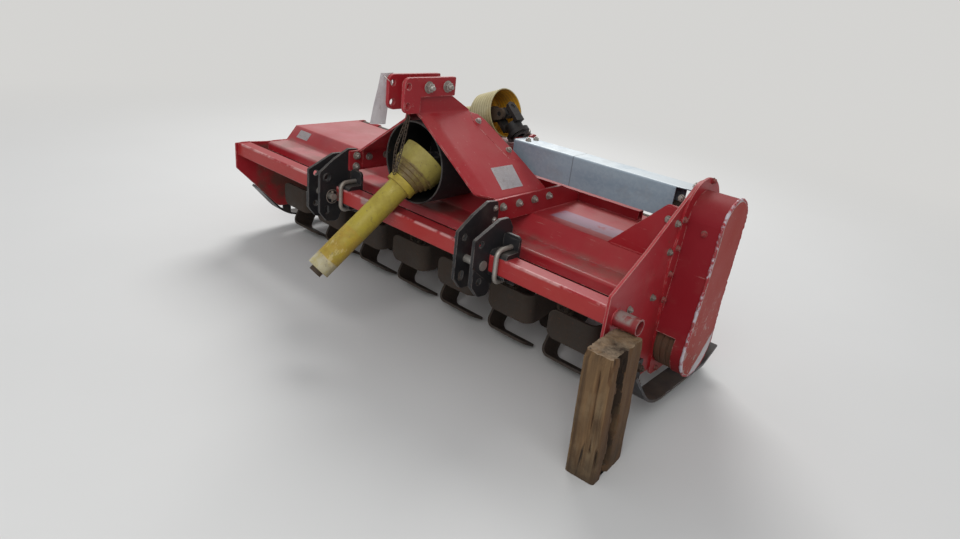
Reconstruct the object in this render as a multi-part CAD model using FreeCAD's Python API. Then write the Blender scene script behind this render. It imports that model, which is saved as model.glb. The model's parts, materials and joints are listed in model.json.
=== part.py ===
import FreeCAD, Part
import math
import os
from FreeCAD import Vector

# Tractor-mounted rotary tiller, standing as it parks: level, on its tines, with a timber post under
# the stub pipe at its right front corner as seen in the picture.
# All sizes are millimetres. Pieces are drawn from a datum at the toolbar: x = 0 is the middle of the
# three-point hitch, y = 0 the toolbar's front face and z = 0 its top face. +X runs towards the chain
# case, +Y towards the rear and +Z up. The last step moves the origin to the upper top-link hole.

# Small gaps: pieces laid on others, and journals and pins in their bores
seat_gap = 0.3
running_gap = 0.05

# Toolbar: square tube across the front
bar_size = 50.0
bar_wall = 5.0
bar_round = 5.0

# End plates, as places of their inner faces
left_inner_x = -938.0
right_inner_x = 750.0
end_plate_t = 8.0
left_outer_x = left_inner_x - end_plate_t
right_outer_x = right_inner_x + end_plate_t
plate_front_y = -11.0
plate_front_z = -99.0
plate_bottom_y = 170.0
plate_bottom_z = -285.0
plate_rear_y = 622.0

# Hood: one folded sheet behind the toolbar
hood_t = 4.0
hood_bend = 6.0
hood_lip_y = 127.0
hood_lip_drop = 32.0
hood_strip_z = -5.0
hood_fold_y = 216.0
hood_top_y = 262.0
hood_top_z = 48.0
hood_rear_y = 584.0
hood_rear_drop = 24.0

# Square tube across the rear of the deck
rear_bar_size = 30.0
rear_bar_wall = 3.0
rear_bar_x = 525.0
rear_bar_y = 508.0

# Rotor: axis, tube, flanges and tines. The tines clear the hood, and stand on the floor by the edges
# of their flats.
rotor_y = 358.0
rotor_tube_r = 38.0
journal_r = 20.0
flange_count = 8
flange_first_x = right_inner_x - 89.0
flange_last_x = left_inner_x + 24.0
flange_pitch = (flange_first_x - flange_last_x) / (flange_count - 1)
flange_r = 75.0
flange_t = 10.0
tines_per_flange = 6
tine_tip_r = 212.0
tine_reach = 157.0
tine_t = 8.0
tine_w = 92.0
tine_shank_w = 58.0
tine_bend = 22.0
tine_corner = 26.0
tine_dip = 1.5
tine_clearance = 18.8
tine_half_turn = math.degrees(math.atan(tine_w / 2 / tine_tip_r))
tine_lowest = 90.0 - 360.0 / tines_per_flange - tine_dip - tine_half_turn
sweep_r = math.hypot(tine_tip_r, tine_w / 2)
rotor_z = hood_top_z - hood_t - tine_clearance - sweep_r
floor_z = rotor_z - sweep_r * math.cos(math.radians(tine_lowest))

# Chain case: back plate with its wide flange, cover with a waist, and the ribbed hub in its foot
shaft_y = 376.0
shaft_z = 158.0
case_depth = 94.0
case_top_r = 74.0
case_bottom_r = 90.0
case_waist = 6.0
case_rim = 7.0
case_plate_t = 6.0
case_flange_r = 106.0
case_foot = 111.0
hub_r = 81.0
hub_length = 58.0
hub_open_z = rotor_z + 44.0
hub_groove = 4.0

# Gearbox, input shaft and its guard
input_z = 150.0
input_r = 17.0
gearbox_half = 80.0
gearbox_front_y = 240.0
gearbox_rear_y = 450.0
gearbox_top_z = 195.0
gearbox_neck_r = 37.0
gearbox_cap_r = 36.0
gearbox_rear_cap_r = 44.0
gearbox_cap = 12.0
guard_mouth_y = 52.0
guard_r = 123.0
guard_t = 3.0

# Galvanised guard over the side shaft, an inverted channel
side_guard_y = 330.0
side_guard_w = 75.0
side_guard_h = 90.0
side_guard_top_z = 232.0
side_guard_x = (150.0, 729.0)
side_guard_t = 3.0
side_shaft_r = 24.0
lug_t = 6.0
lug_y = (356.0, 391.0)

# Mast: two top plates and two folded legs
top_plate_out = 39.0
top_plate_t = 12.0
top_plate_y = (-33.0, 163.0)
top_plate_z = (306.0, 403.0)
top_plate_step = (28.0, 350.0)
link_hole_y = -19.0
link_hole_z = (380.0, 327.0)
link_hole_r = 9.6
leg_t = 6.0
leg_bend = 6.0
leg_fold_z = 115.0
leg_bottom_z = 50.0
seam_w = 1.5
strip_back_t = 5.0

# Deck brackets that carry the legs
bracket_t = 8.0
bracket_y = (45.0, 400.0)
bracket_top_z = 115.0
bracket_tail_z = 73.0

# Lower hitch: a pair of plates each side, clamped to the toolbar by saddles and U-bolts
hitch_x = 341.0
hitch_gap = 52.0
hitch_t = 10.0
leg_foot_x = hitch_x - hitch_gap / 2 - hitch_t - bracket_t
doubler_t = 4.0
pin_y = -25.0
pin_z = -27.0
pin_r = 11.0
spare_hole_r = 9.6
slot_run = 12.0
upper_hole = (-38.0, 35.0)
lower_hole = (-38.0, -70.0)
rod_r = 7.0
rod_bend = 20.0
pad_t = 14.0
saddle_t = 8.0
saddle_w = 56.0
saddle_z = (-86.0, 56.0)
rod_inset = 30.0

# Driveshaft half on the input shaft: angles of its tube below level and to the left
joint_y = 100.0
shaft_dip = 43.0
shaft_turn = 9.7
tube_r = 36.5
tube_wall = 3.0
tube_start = 100.0
tube_end = 455.0
collar_r = 47.0
collar_w = 22.0
bell_r = 80.0
bell_cup = (58.0, 72.0)
bell_back = 8.0
bell_wall = 3.0
bell_steps = 3
bell_step_fall = 2.0
profile_r = 20.0
profile_wall = 4.0

# Yokes and crosses of the two shaft joints
ear_r = 18.0
ear_out = 36.0
ear_in = 24.0
ear_root = 42.0
ear_base = 52.0
trunnion_r = 8.0
cross_half = 15.0

# The other driveshaft half, laid on the gearbox behind the mast
spare_tilt = 16.0
spare_droop = 42.0
spare_x = 52.0
spare_y = 395.0
spare_bell_r = 78.0
spare_cup = (92.0, 70.0)
spare_bell_length = 122.0
spare_length = 385.0
spare_yoke_end = 92.0

# Skids beside the end plates
skid_w = 62.0
skid_t = 8.0
skid_z = -338.0
skid_bends = (165.0, 60.0)

# Tailboard behind the hood, its lift rod and swivel
board_t = 4.0
board_hinge_y = 606.0
board_hinge_z = 36.0
board_hinge_r = 9.0
board_bottom_z = floor_z + 14.0
knuckle_count = 5
knuckle_w = 60.0
knuckle_edge = 80.0
lift_ear_t = 8.0
lift_ear_gap = 24.0
lift_pin_r = 6.0
lift_rod_r = 8.0
swivel = (590.0, 178.0)
swivel_r = 20.0
swivel_pin_r = 8.0
swivel_gap = 46.0
rod_play = 4.5

# Stub pipe and the timber post that stands under it
pipe_y = 34.0
pipe_z = -35.0
pipe_r = 21.5
pipe_wall = 4.0
pipe_length = 64.0
pipe_end_x = right_outer_x + pipe_length
post_size = (82.0, 156.0)
post_turn = 4.0
post_top = (806.0, -42.0)
post_lean = (8.0, 6.0)

ORIGIN = Vector(0, link_hole_y, link_hole_z[0])
AXIS = Vector(0, rotor_y, rotor_z)
X = Vector(1, 0, 0)
Y = Vector(0, 1, 0)
Z = Vector(0, 0, 1)
os.makedirs("parts", exist_ok=True)


def save(name, *solids):
    shape = Part.makeCompound(list(solids)) if len(solids) > 1 else solids[0]
    shape = shape.copy()
    shape.translate(ORIGIN.negative())
    shape.exportStep("parts/" + name + ".step")


def outline(corners, place):
    """Closed wire through corners (u, v, radius), with each corner rounded by its radius."""
    count = len(corners)
    edges = []
    ends = []
    for i in range(count):
        u, v, r = corners[i]
        here = Vector(u, v, 0)
        to_prev = (Vector(*corners[i - 1][:2], 0) - here).normalize()
        to_next = (Vector(*corners[(i + 1) % count][:2], 0) - here).normalize()
        if r <= 0:
            ends.append((here, None, here))
            continue
        half = to_prev.getAngle(to_next) / 2
        run = r / math.tan(half)
        middle = (to_prev + to_next).normalize()
        centre = here + middle * (r / math.sin(half))
        ends.append((here + to_prev * run, centre - middle * r, here + to_next * run))
    for i in range(count):
        start, mid, stop = [place(p.x, p.y) if p else None for p in ends[i]]
        if mid:
            edges.append(Part.Arc(start, mid, stop).toShape())
        following = ends[(i + 1) % count][0]
        following = place(following.x, following.y)
        if stop.distanceToPoint(following) > 1e-6:
            edges.append(Part.LineSegment(stop, following).toShape())
    return Part.Wire(edges)


def plate_x(corners, x0, x1):
    """Plate across X from corners (y, z, radius)."""
    wire = outline(corners, lambda y, z: Vector(x0, y, z))
    return Part.Face(wire).extrude(X * (x1 - x0))


def plate_y(corners, y0, y1):
    """Plate across Y from corners (x, z, radius)."""
    wire = outline(corners, lambda x, z: Vector(x, y0, z))
    return Part.Face(wire).extrude(Y * (y1 - y0))


def plate_z(corners, z0, z1):
    """Plate across Z from corners (x, y, radius)."""
    wire = outline(corners, lambda x, y: Vector(x, y, z0))
    return Part.Face(wire).extrude(Z * (z1 - z0))


def rod(start, direction, r, length):
    return Part.makeCylinder(r, length, start, direction)


def bar_x(y, z, r, x0, x1):
    return rod(Vector(x0, y, z), X, r, x1 - x0)


def box(x, y, z):
    return Part.makeBox(x[1] - x[0], y[1] - y[0], z[1] - z[0], Vector(x[0], y[0], z[0]))


def mirror_x(shape):
    return shape.mirror(Vector(0, 0, 0), X)


def revolve(points, centre, direction):
    """Ring turned about an axis from points (distance along it, radius)."""
    side = Z.cross(direction).normalize()
    corners = [centre + direction * s + side * r for s, r in points]
    face = Part.Face(Part.makePolygon(corners + corners[:1]))
    return face.revolve(centre, direction, 360)


def sheet_corners(path, t, bends=None):
    """Corners of a bent sheet: the path is its upper face, t is taken below it. The inside radius of
    the bend at each corner between the ends is in bends."""
    upper = []
    under = []
    for i, (y, z) in enumerate(path):
        before = Vector(path[i][0] - path[i - 1][0], path[i][1] - path[i - 1][1], 0) if i else None
        after = None
        if i + 1 < len(path):
            after = Vector(path[i + 1][0] - y, path[i + 1][1] - z, 0)
        normals = [Vector(d.y, -d.x, 0).normalize() for d in (before, after) if d]
        normal = normals[0]
        radii = (0, 0)
        if len(normals) == 2:
            normal = (normals[0] + normals[1]).normalize()
            bend = bends[i - 1]
            radii = (bend + t, bend) if before.cross(after).z < 0 else (bend, bend + t)
        reach = t / normal.dot(normals[0])
        upper.append((y, z, radii[0]))
        under.append((y + normal.x * reach, z + normal.y * reach, radii[1]))
    return upper + under[::-1]


def oval(top, top_r, bottom, bottom_r, waist, x0, x1):
    """Two round ends joined by sides that are drawn in by waist at their middles, as a prism along X."""
    dy = top[0] - bottom[0]
    dz = top[1] - bottom[1]
    lean = math.atan2(dz, dy)
    spread = math.acos((bottom_r - top_r) / math.hypot(dy, dz))

    def at(centre, r, angle):
        return Vector(x0, centre[0] + r * math.cos(angle), centre[1] + r * math.sin(angle))

    def side(start, stop, angle):
        inwards = Vector(0, -math.cos(angle), -math.sin(angle))
        return Part.Arc(start, (start + stop) / 2 + inwards * waist, stop).toShape()

    a, b = lean - spread, lean + spread
    edges = [
        Part.Arc(at(top, top_r, a), at(top, top_r, lean), at(top, top_r, b)).toShape(),
        side(at(top, top_r, b), at(bottom, bottom_r, b), b),
        Part.Arc(at(bottom, bottom_r, b), at(bottom, bottom_r, lean + math.pi),
                 at(bottom, bottom_r, a)).toShape(),
        side(at(bottom, bottom_r, a), at(top, top_r, a), a),
    ]
    return Part.Face(Part.Wire(edges)).extrude(X * (x1 - x0))


def tube_x(size, wall, corner_round, x, y0, z_top):
    """Square tube along X with rounded corners."""
    def ring(inset, r):
        y1, z0 = y0 + size - inset, z_top - size + inset
        corners = [(y0 + inset, z_top - inset, r), (y1, z_top - inset, r), (y1, z0, r), (y0 + inset, z0, r)]
        return plate_x(corners, *x)
    return ring(0, corner_round).cut(ring(wall, 0))


# Toolbar, with the tube across the rear of the deck
bar_length = (left_inner_x, right_inner_x)
save("toolbar", tube_x(bar_size, bar_wall, bar_round, bar_length, 0, 0))
rear_bar_top = hood_top_z + rear_bar_size
save("rear_bar", tube_x(rear_bar_size, rear_bar_wall, 0, (-rear_bar_x, rear_bar_x), rear_bar_y, rear_bar_top))

# Hood
hood_path = [
    (hood_lip_y, hood_strip_z - hood_lip_drop),
    (hood_lip_y, hood_strip_z),
    (hood_fold_y, hood_strip_z),
    (hood_top_y, hood_top_z),
    (hood_rear_y, hood_top_z),
    (hood_rear_y, hood_top_z - hood_rear_drop),
]
hood_bends = [hood_bend] * (len(hood_path) - 2)
save("hood", plate_x(sheet_corners(hood_path, hood_t, hood_bends), *bar_length))

# End plates: one lower outline, the left one's top along the hood and the right one's up the chain case
plate_foot = [
    (plate_rear_y, 20, 8),
    (plate_rear_y - 16, 8, 0),
    (plate_rear_y + 2, -120, 0),
    (plate_rear_y + 21, plate_bottom_z, 20),
    (plate_bottom_y, plate_bottom_z, 30),
    (plate_front_y, plate_front_z, 12),
]
left_top = [
    (plate_front_y, 0, 4),
    (bar_size, 0, 0),
    (hood_lip_y, hood_strip_z, 0),
    (hood_fold_y, hood_strip_z, 0),
    (hood_top_y, hood_top_z, 0),
    (plate_rear_y, hood_top_z, 12),
]
right_top = [
    (plate_front_y, 31, 6),
    (126, 112, 0),
    (338, 256, 60),
    (430, 258, 60),
    (plate_rear_y, hood_top_z, 12),
]
rotor_bore = bar_x(rotor_y, rotor_z, journal_r + running_gap, left_outer_x - 22, right_outer_x + 40)
save("end_plate_left", plate_x(left_top + plate_foot, left_outer_x, left_inner_x).cut(rotor_bore))
right_plate = plate_x(right_top + plate_foot, right_inner_x, right_outer_x).cut(rotor_bore)
guard_seat = (side_guard_top_z - side_guard_t - lug_t, side_guard_top_z - side_guard_t)
right_lug = box((right_inner_x - 50, right_inner_x), lug_y, guard_seat)
save("end_plate_right", right_plate.fuse(right_lug).removeSplitter())

# Chain case: back plate with a flange that is wide at the top
case_top = (shaft_y, shaft_z)
case_bottom = (rotor_y - 3, rotor_z + 8)
case_x0 = right_outer_x + case_plate_t
case_x1 = case_x0 + case_depth
flange_y = (shaft_y - case_flange_r, shaft_y + case_flange_r)
flange_top = shaft_z + case_flange_r
flange_corners = [
    (flange_y[0], flange_top, case_flange_r - 1),
    (flange_y[1], flange_top, case_flange_r - 1),
    (flange_y[1] - 1, 122, 30),
    (468, 50, 60),
    (460, rotor_z, 60),
    (424, rotor_z - case_foot, 60),
    (294, rotor_z - case_foot, 24),
    (255, 54, 60),
    (flange_y[0] + 1, 122, 30),
]
save("chain_case_back", plate_x(flange_corners, right_outer_x, case_x0).cut(rotor_bore))

# Chain case cover. Its side wall stops above the ribbed hub, which shows below it.
cover = oval(case_top, case_top_r, case_bottom, case_bottom_r, case_waist, case_x0, case_x1)
rim = [e for e in cover.Edges if abs(e.BoundBox.XMin - case_x1) < 1 and e.BoundBox.XLength < 1]
cover = cover.makeFillet(case_rim, rim)
hub_x = (case_x0, case_x0 + hub_length)
hub_window = box(hub_x, (rotor_y - 2 * hub_r, rotor_y + 2 * hub_r), (rotor_z - 2 * hub_r, hub_open_z))
cover = cover.cut(hub_window).cut(bar_x(rotor_y, rotor_z, hub_r, *hub_x)).cut(rotor_bore)
save("chain_case_cover", cover)
hub = [(0, journal_r + running_gap), (0, hub_r - hub_groove), (4, hub_r - hub_groove)]
for start, stop in ((6, 18), (24, 36), (42, hub_length)):
    hub += [(start, hub_r), (stop, hub_r), (stop + 2, hub_r - hub_groove), (stop + 4, hub_r - hub_groove)]
hub = hub[:-2] + [(hub_length, journal_r + running_gap)]
save("case_hub", revolve(hub, Vector(case_x0, rotor_y, rotor_z), X))

# Bearing hub on the left end plate
hub_left = bar_x(rotor_y, rotor_z, 62, left_outer_x - 22, left_outer_x).cut(rotor_bore)
hub_left = hub_left.fuse(bar_x(rotor_y, rotor_z, 34, left_outer_x - 40, left_outer_x - 22))
save("rotor_hub_left", hub_left.removeSplitter())

# Skids: bent flat runners on lugs, outside the end plates
skid_path = [(94, -197), (218, skid_z), (560, skid_z), (640, -300)]
skid_lugs = [
    # front y, rear y, top z, lower front z, lower rear z
    (196, 232, -220, -311, -330),
    (480, 520, -240, skid_z - 2, skid_z - 2),
]
for side, face_x, outward in (("left", left_outer_x, -1), ("right", right_outer_x, 1)):
    runner_x = sorted((face_x, face_x + outward * skid_w))
    skid = plate_x(sheet_corners(skid_path, skid_t, skid_bends), *runner_x)
    lug_x = sorted((face_x, face_x + outward * skid_t))
    for front, rear, top, low_front, low_rear in skid_lugs:
        corners = [(front, top, 6), (rear, top, 6), (rear, low_rear, 0), (front, low_front, 0)]
        skid = skid.fuse(plate_x(corners, *lug_x))
    save("skid_" + side, skid.removeSplitter())

# Gusset between hood and right end plate
gusset_t = 6.0
gusset = [(572, hood_top_z, 0), (720, 200, 12), (right_inner_x, 200, 0), (right_inner_x, hood_top_z, 0)]
save("gusset", plate_y(gusset, hood_top_y, hood_top_y + gusset_t))

# Gearbox with its round end caps and output neck, standing on the hood
gearbox = box((-gearbox_half, gearbox_half), (gearbox_front_y, gearbox_rear_y), (hood_top_z, gearbox_top_z))
gearbox = gearbox.makeFillet(18, [e for e in gearbox.Edges if e.BoundBox.ZLength > 100])
neck_end_x = side_guard_x[0] - 8
neck_lug = box((side_guard_x[0] - 20, side_guard_x[0] + 30), lug_y, (shaft_z + 28, guard_seat[1]))
gearbox = gearbox.fuse([
    bar_x(shaft_y, shaft_z, gearbox_neck_r, gearbox_half, neck_end_x),
    bar_x(shaft_y, shaft_z, gearbox_cap_r, -gearbox_half - gearbox_cap, -gearbox_half),
    rod(Vector(0, gearbox_rear_y, input_z), Y, gearbox_rear_cap_r, gearbox_cap),
    neck_lug,
])
save("gearbox", gearbox.removeSplitter())

# Side shaft to the chain case and its guard: the guard's top runs on to the right end plate's lug
save("side_shaft", bar_x(shaft_y, shaft_z, side_shaft_r, neck_end_x, right_inner_x))
guard_y = (side_guard_y, side_guard_y + side_guard_w)
guard_z = (side_guard_top_z - side_guard_h, side_guard_top_z)
side_guard = box(side_guard_x, guard_y, guard_z)
side_guard = side_guard.cut(box(side_guard_x, (guard_y[0] + side_guard_t, guard_y[1] - side_guard_t),
                                (guard_z[0], guard_z[1] - side_guard_t)))
guard_tongue = box((side_guard_x[1], right_inner_x - 2), guard_y, (guard_z[1] - side_guard_t, guard_z[1]))
save("side_shaft_guard", side_guard.fuse(guard_tongue).removeSplitter())

# Round guard over the input shaft
guard_depth = gearbox_front_y - guard_mouth_y
mouth = Vector(0, guard_mouth_y, input_z)
guard = rod(mouth, Y, guard_r, guard_depth).cut(rod(mouth, Y, guard_r - guard_t, guard_depth - guard_t))
save("input_guard", guard.cut(rod(mouth, Y, input_r + 1, guard_depth)))

# Mast top plates with two top-link holes each
plate = plate_x([(top_plate_y[0], top_plate_z[0], 20), (top_plate_y[0], top_plate_z[1], 20),
                 (top_plate_y[1], top_plate_z[1], 4), (top_plate_y[1], top_plate_step[1], 4),
                 (*top_plate_step, 0), (top_plate_step[0], top_plate_z[0], 4)],
                top_plate_out - top_plate_t, top_plate_out)
for z in link_hole_z:
    plate = plate.cut(bar_x(link_hole_y, z, link_hole_r, 0, top_plate_out + 1))
save("top_plate_right", plate)
save("top_plate_left", mirror_x(plate))

# Mast legs: upright in the top plates, slanting outwards, upright again at the deck brackets.
# leg_plan is the slanting part seen from above, as (x, y, radius); its rear edge steps in for the strip.
leg_top_x = top_plate_out - top_plate_t
leg_profile = [(leg_top_x, top_plate_z[1] - 8), (leg_top_x, top_plate_z[0] - 4),
               (leg_foot_x, leg_fold_z), (leg_foot_x, leg_bottom_z)]
leg_reach = leg_foot_x + 20
seam = [(34, 242), (66, 225), (193, 262)]
step = (208, 313)
leg_rear_x = leg_foot_x - 2
leg_plan = [(0, 30, 0), (88, 26, 400), (236, 14, 60), (leg_foot_x - 24, 34, 30), (leg_foot_x + 1, 94, 0),
            (leg_reach, 94, 0), (leg_reach, 326, 0), (leg_rear_x, 326, 10)]
leg_plan += [(*step, 0), (*seam[2], 0), (*seam[1], 6), (*seam[0], 0), (0, 242, 0)]
leg_blank = (0, bracket_y[1] - 20)
leg_shoulder_z = top_plate_z[0] - 4
leg_side = [(28, top_plate_z[1], 0), (160, top_plate_z[1], 0), (160, top_plate_step[1], 0),
            (246, leg_shoulder_z, 0), (leg_blank[1], leg_shoulder_z, 0), (leg_blank[1], leg_bottom_z, 0),
            (0, leg_bottom_z, 0), (0, top_plate_z[0] - 10, 0), (28, top_plate_z[0], 0)]
leg = plate_y(sheet_corners(leg_profile, leg_t, (leg_bend, leg_bend)), *leg_blank)
leg = leg.common(plate_x(leg_side, 0, leg_reach)).common(plate_z(leg_plan, leg_bottom_z, top_plate_z[1]))
save("mast_leg_right", leg)
save("mast_leg_left", mirror_x(leg))

# Strip plate in each leg's step, flush with the leg, on a backing that lies under both
rear_edge = [step, (170, 306), (63, 281), (44, 268)]
strip_face = [(seam[0][0], seam[0][1] + seam_w, 0), (seam[1][0], seam[1][1] + seam_w, 6),
              (seam[2][0], seam[2][1] + seam_w, 0)] + [(x, y, 0) for x, y in rear_edge]
strip_back = [(46, 212, 0), (193, 240, 0)] + [(x, y, 0) for x, y in rear_edge]
slope = leg_profile[1:3]
below = sheet_corners(slope, leg_t)[2:][::-1]
strip = plate_y(sheet_corners(slope, leg_t), *leg_blank)
strip = strip.common(plate_z(strip_face, leg_bottom_z, top_plate_z[0]))
backing = plate_y(sheet_corners([(x, z) for x, z, r in below], strip_back_t), *leg_blank)
strip = strip.fuse(backing.common(plate_z(strip_back, leg_bottom_z, top_plate_z[0]))).removeSplitter()
save("leg_strips", strip, mirror_x(strip))

# Deck brackets, from the toolbar to the rear bar
bracket_side = [(bracket_y[0], bracket_top_z, 4), (bracket_y[1], bracket_top_z, 8),
                (rear_bar_y, bracket_tail_z, 0), (rear_bar_y, hood_top_z, 0), (bracket_y[0], hood_top_z, 4)]
bracket = plate_x(bracket_side, leg_foot_x, leg_foot_x + bracket_t)
save("deck_bracket_right", bracket)
save("deck_bracket_left", mirror_x(bracket))

# Lower hitch plates, notched round the toolbar. Outer plates have a doubler over their lower front.
notch = box((-1000, 1000), (0, bar_size), (-bar_size, 0))
lower_edge = [(86, -58, 8), (34, -58, 8), (8, -120, 18), (-36, -116, 16), (-65, -80, 12)]
outer_side = [(-65, 50, 6), (30, 93, 10), (66, 92, 10), (86, 62, 8)] + lower_edge
inner_side = [(-65, 55, 6), (-10, 93, 0), (46, 122, 10), (84, 118, 8), (92, 90, 8)] + lower_edge
doubler = [(-65, -28, 0), (10, -88, 0)] + lower_edge[2:]
plate_x0 = {"inner": hitch_x - hitch_gap / 2 - hitch_t, "outer": hitch_x + hitch_gap / 2}
hole_x = (plate_x0["inner"] - 1, plate_x0["outer"] + hitch_t + doubler_t + 1)
holes = [bar_x(*upper_hole, spare_hole_r, *hole_x), bar_x(*lower_hole, spare_hole_r, *hole_x),
         bar_x(pin_y, pin_z, pin_r + 0.1, *hole_x)]
slot_z = (lower_hole[1] - slot_run, lower_hole[1])
slot = box((hole_x[0], hitch_x), (lower_hole[0] - spare_hole_r, lower_hole[0] + spare_hole_r), slot_z)
slot = slot.fuse(bar_x(lower_hole[0], slot_z[0], spare_hole_r, hole_x[0], hitch_x))
for which, corners in (("inner", inner_side), ("outer", outer_side)):
    x0 = plate_x0[which]
    plate = plate_x(corners, x0, x0 + hitch_t)
    if which == "outer":
        plate = plate.fuse(plate_x(doubler, x0 + hitch_t, x0 + hitch_t + doubler_t)).removeSplitter()
    plate = plate.cut(notch).cut(holes + [slot])
    save("hitch_%s_right" % which, plate)
    save("hitch_%s_left" % which, mirror_x(plate))

# Hitch pins, pushed through each pair from the outside
pin_head_t = 4.0
pin_x = (plate_x0["inner"] - 22, plate_x0["outer"] + hitch_t + pin_head_t)
pin = bar_x(pin_y, pin_z, pin_r, *pin_x)
pin_head = bar_x(pin_y, pin_z, pin_r + 3, pin_x[1] - pin_head_t + seat_gap, pin_x[1])
pin = pin.fuse(pin_head).removeSplitter()
save("hitch_pin_right", pin)
save("hitch_pin_left", mirror_x(pin))

# Saddles and U-bolts: a black clamp and a bent rod round the toolbar beside each hitch plate
saddle_x = [plate_x0["outer"] + hitch_t, leg_foot_x - saddle_w]
rod_x = [saddle_x[0] + rod_inset, saddle_x[1] + saddle_w - rod_inset + 4]
rod_top = pad_t + rod_r + seat_gap
rod_low = -bar_size - rod_top
rod_front = -rod_r - seat_gap
rod_back = bar_size + saddle_t + 20
pad_nose = rod_bend - rod_r
mid_turn = rod_bend * (1 - math.sqrt(0.5))


def u_bolt(x):
    corners = [((rod_back, rod_top), (rod_front + rod_bend, rod_top)),
               ((rod_front, rod_top - rod_bend), (rod_front, rod_low + rod_bend)),
               ((rod_front + rod_bend, rod_low), (rod_back, rod_low))]
    turns = [(rod_front + mid_turn, rod_top - mid_turn), (rod_front + mid_turn, rod_low + mid_turn)]
    edges = []
    for i, (start, stop) in enumerate(corners):
        edges.append(Part.LineSegment(Vector(x, *start), Vector(x, *stop)).toShape())
        if i < len(turns):
            turn_end = corners[i + 1][0]
            edges.append(Part.Arc(Vector(x, *stop), Vector(x, *turns[i]), Vector(x, *turn_end)).toShape())
    circle = Part.Wire(Part.makeCircle(rod_r, Vector(x, rod_back, rod_top), Y))
    return Part.Wire(edges).makePipeShell([circle], True, False)


def saddle(x0):
    x1 = x0 + saddle_w
    back = plate_y([(x0, saddle_z[0], 4), (x0, saddle_z[1], 12), (x1, saddle_z[1], 12), (x1, saddle_z[0], 4)],
                   bar_size, bar_size + saddle_t)
    top_pad = plate_x([(1, 0, 0), (1, pad_t, pad_nose), (bar_size, pad_t, 0), (bar_size, 0, 0)], x0, x1)
    low_pad = plate_x([(1, -bar_size, 0), (1, -bar_size - pad_t, pad_nose), (bar_size, -bar_size - pad_t, 0),
                       (bar_size, -bar_size, 0)], x0, x1)
    return back.fuse([top_pad, low_pad]).removeSplitter()


rods = [u_bolt(x) for x in rod_x]
saddles = []
for i, x0 in enumerate(saddle_x):
    piece = saddle(x0)
    for z in (rod_top, rod_low):
        piece = piece.cut(rod(Vector(rod_x[i], bar_size - 1, z), Y, rod_r + seat_gap, saddle_t + 2))
    saddles.append(piece)
save("u_bolts", *rods, *[mirror_x(r) for r in rods])
save("saddles", *saddles, *[mirror_x(s) for s in saddles])

# Stub pipe on the right end plate, and the leaning timber post under it
pipe = bar_x(pipe_y, pipe_z, pipe_r, right_outer_x, pipe_end_x)
save("stub_pipe", pipe.cut(bar_x(pipe_y, pipe_z, pipe_r - pipe_wall, right_outer_x, pipe_end_x)))
half_x, half_y = post_size[0] / 2, post_size[1] / 2
post_corners = [(-half_x, -half_y, 0), (half_x, -half_y, 0), (half_x, half_y, 0), (-half_x, half_y, 0)]
post_base = Part.Face(outline(post_corners, lambda x, y: Vector(x, y, 0)))
post_base.rotate(Vector(0, 0, 0), Z, post_turn)
post_base.translate(Vector(post_top[0] + post_lean[0], post_top[1] + post_lean[1], floor_z))
post_height = pipe_z - pipe_r - seat_gap - floor_z
save("timber_post", post_base.extrude(Vector(-post_lean[0], -post_lean[1], post_height)))


def fork(stem):
    """Yoke along +Y from its joint at the origin, its ears at both X sides; stem is (radius, end)."""
    ears = box((-ear_out, ear_out), (0, ear_base), (-ear_r, ear_r))
    ears = ears.fuse(bar_x(0, 0, ear_r, -ear_out, ear_out))
    ears = ears.cut(box((-ear_in, ear_in), (-2 * ear_r, ear_root), (-2 * ear_r, 2 * ear_r)))
    ears = ears.cut(bar_x(0, 0, trunnion_r + running_gap, -ear_out, ear_out))
    return ears.fuse(rod(Vector(0, ear_root, 0), Y, stem[0], stem[1] - ear_root)).removeSplitter()


def cross(first_r):
    """Cross of a joint at the origin: pins along X, of radius first_r, and Z in a chamfered block."""
    half = ear_out - 2
    block = box((-cross_half, cross_half), (-cross_half, cross_half), (-cross_half, cross_half))
    block = block.makeChamfer(4, [e for e in block.Edges])
    return block.fuse([bar_x(0, 0, first_r, -half, half), rod(Vector(0, 0, -half), Z, trunnion_r, 2 * half)])


def bell(mouth, direction, r, cup, length):
    """Bell from its mouth along direction: a cup to (depth, radius), then steps down to the tube."""
    depth, cup_r = cup
    start = depth + bell_wall
    start_r = cup_r - 5
    pitch = (length - start) / bell_steps
    drop = (start_r - collar_r + 4) / bell_steps
    outer = [(0, r), (6, r - 1), cup]
    for k in range(bell_steps):
        s = start + k * pitch
        step_r = start_r - k * drop
        outer += [(s, step_r), (s + pitch - bell_step_fall, step_r - bell_step_fall)]
    outer += [(length, collar_r - 4)]
    inner = [(length, tube_r - tube_wall), (depth - 2, cup_r - 9), (depth - 8, cup_r - bell_wall),
             (0, r - bell_wall)]
    return revolve(outer + inner, mouth, direction)


# Driveshaft half. Its own axis runs along -Y from the joint before it is dipped and turned.
JOINT = Vector(0, joint_y, input_z)
shoulder_r = tube_r - tube_wall - 0.1


def shaft_pose(shape):
    shape = shape.copy()
    shape.rotate(JOINT, Z, -shaft_turn)
    shape.rotate(JOINT, X, shaft_dip)
    return shape


def along(r, start, stop):
    return rod(JOINT - Y * start, -Y, r, stop - start)


stem_r = 24.0
input_yoke = fork((stem_r, gearbox_front_y - 30 - joint_y))
input_yoke = input_yoke.fuse(rod(Vector(0, ear_base, 0), Y, input_r, gearbox_front_y - joint_y - ear_base))
input_yoke.translate(JOINT)
save("input_yoke", input_yoke.removeSplitter())

joint_cross = cross(trunnion_r)
joint_cross.translate(JOINT)
joint_cross.rotate(JOINT, X, shaft_dip)
save("joint_cross", joint_cross.removeSplitter())

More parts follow.
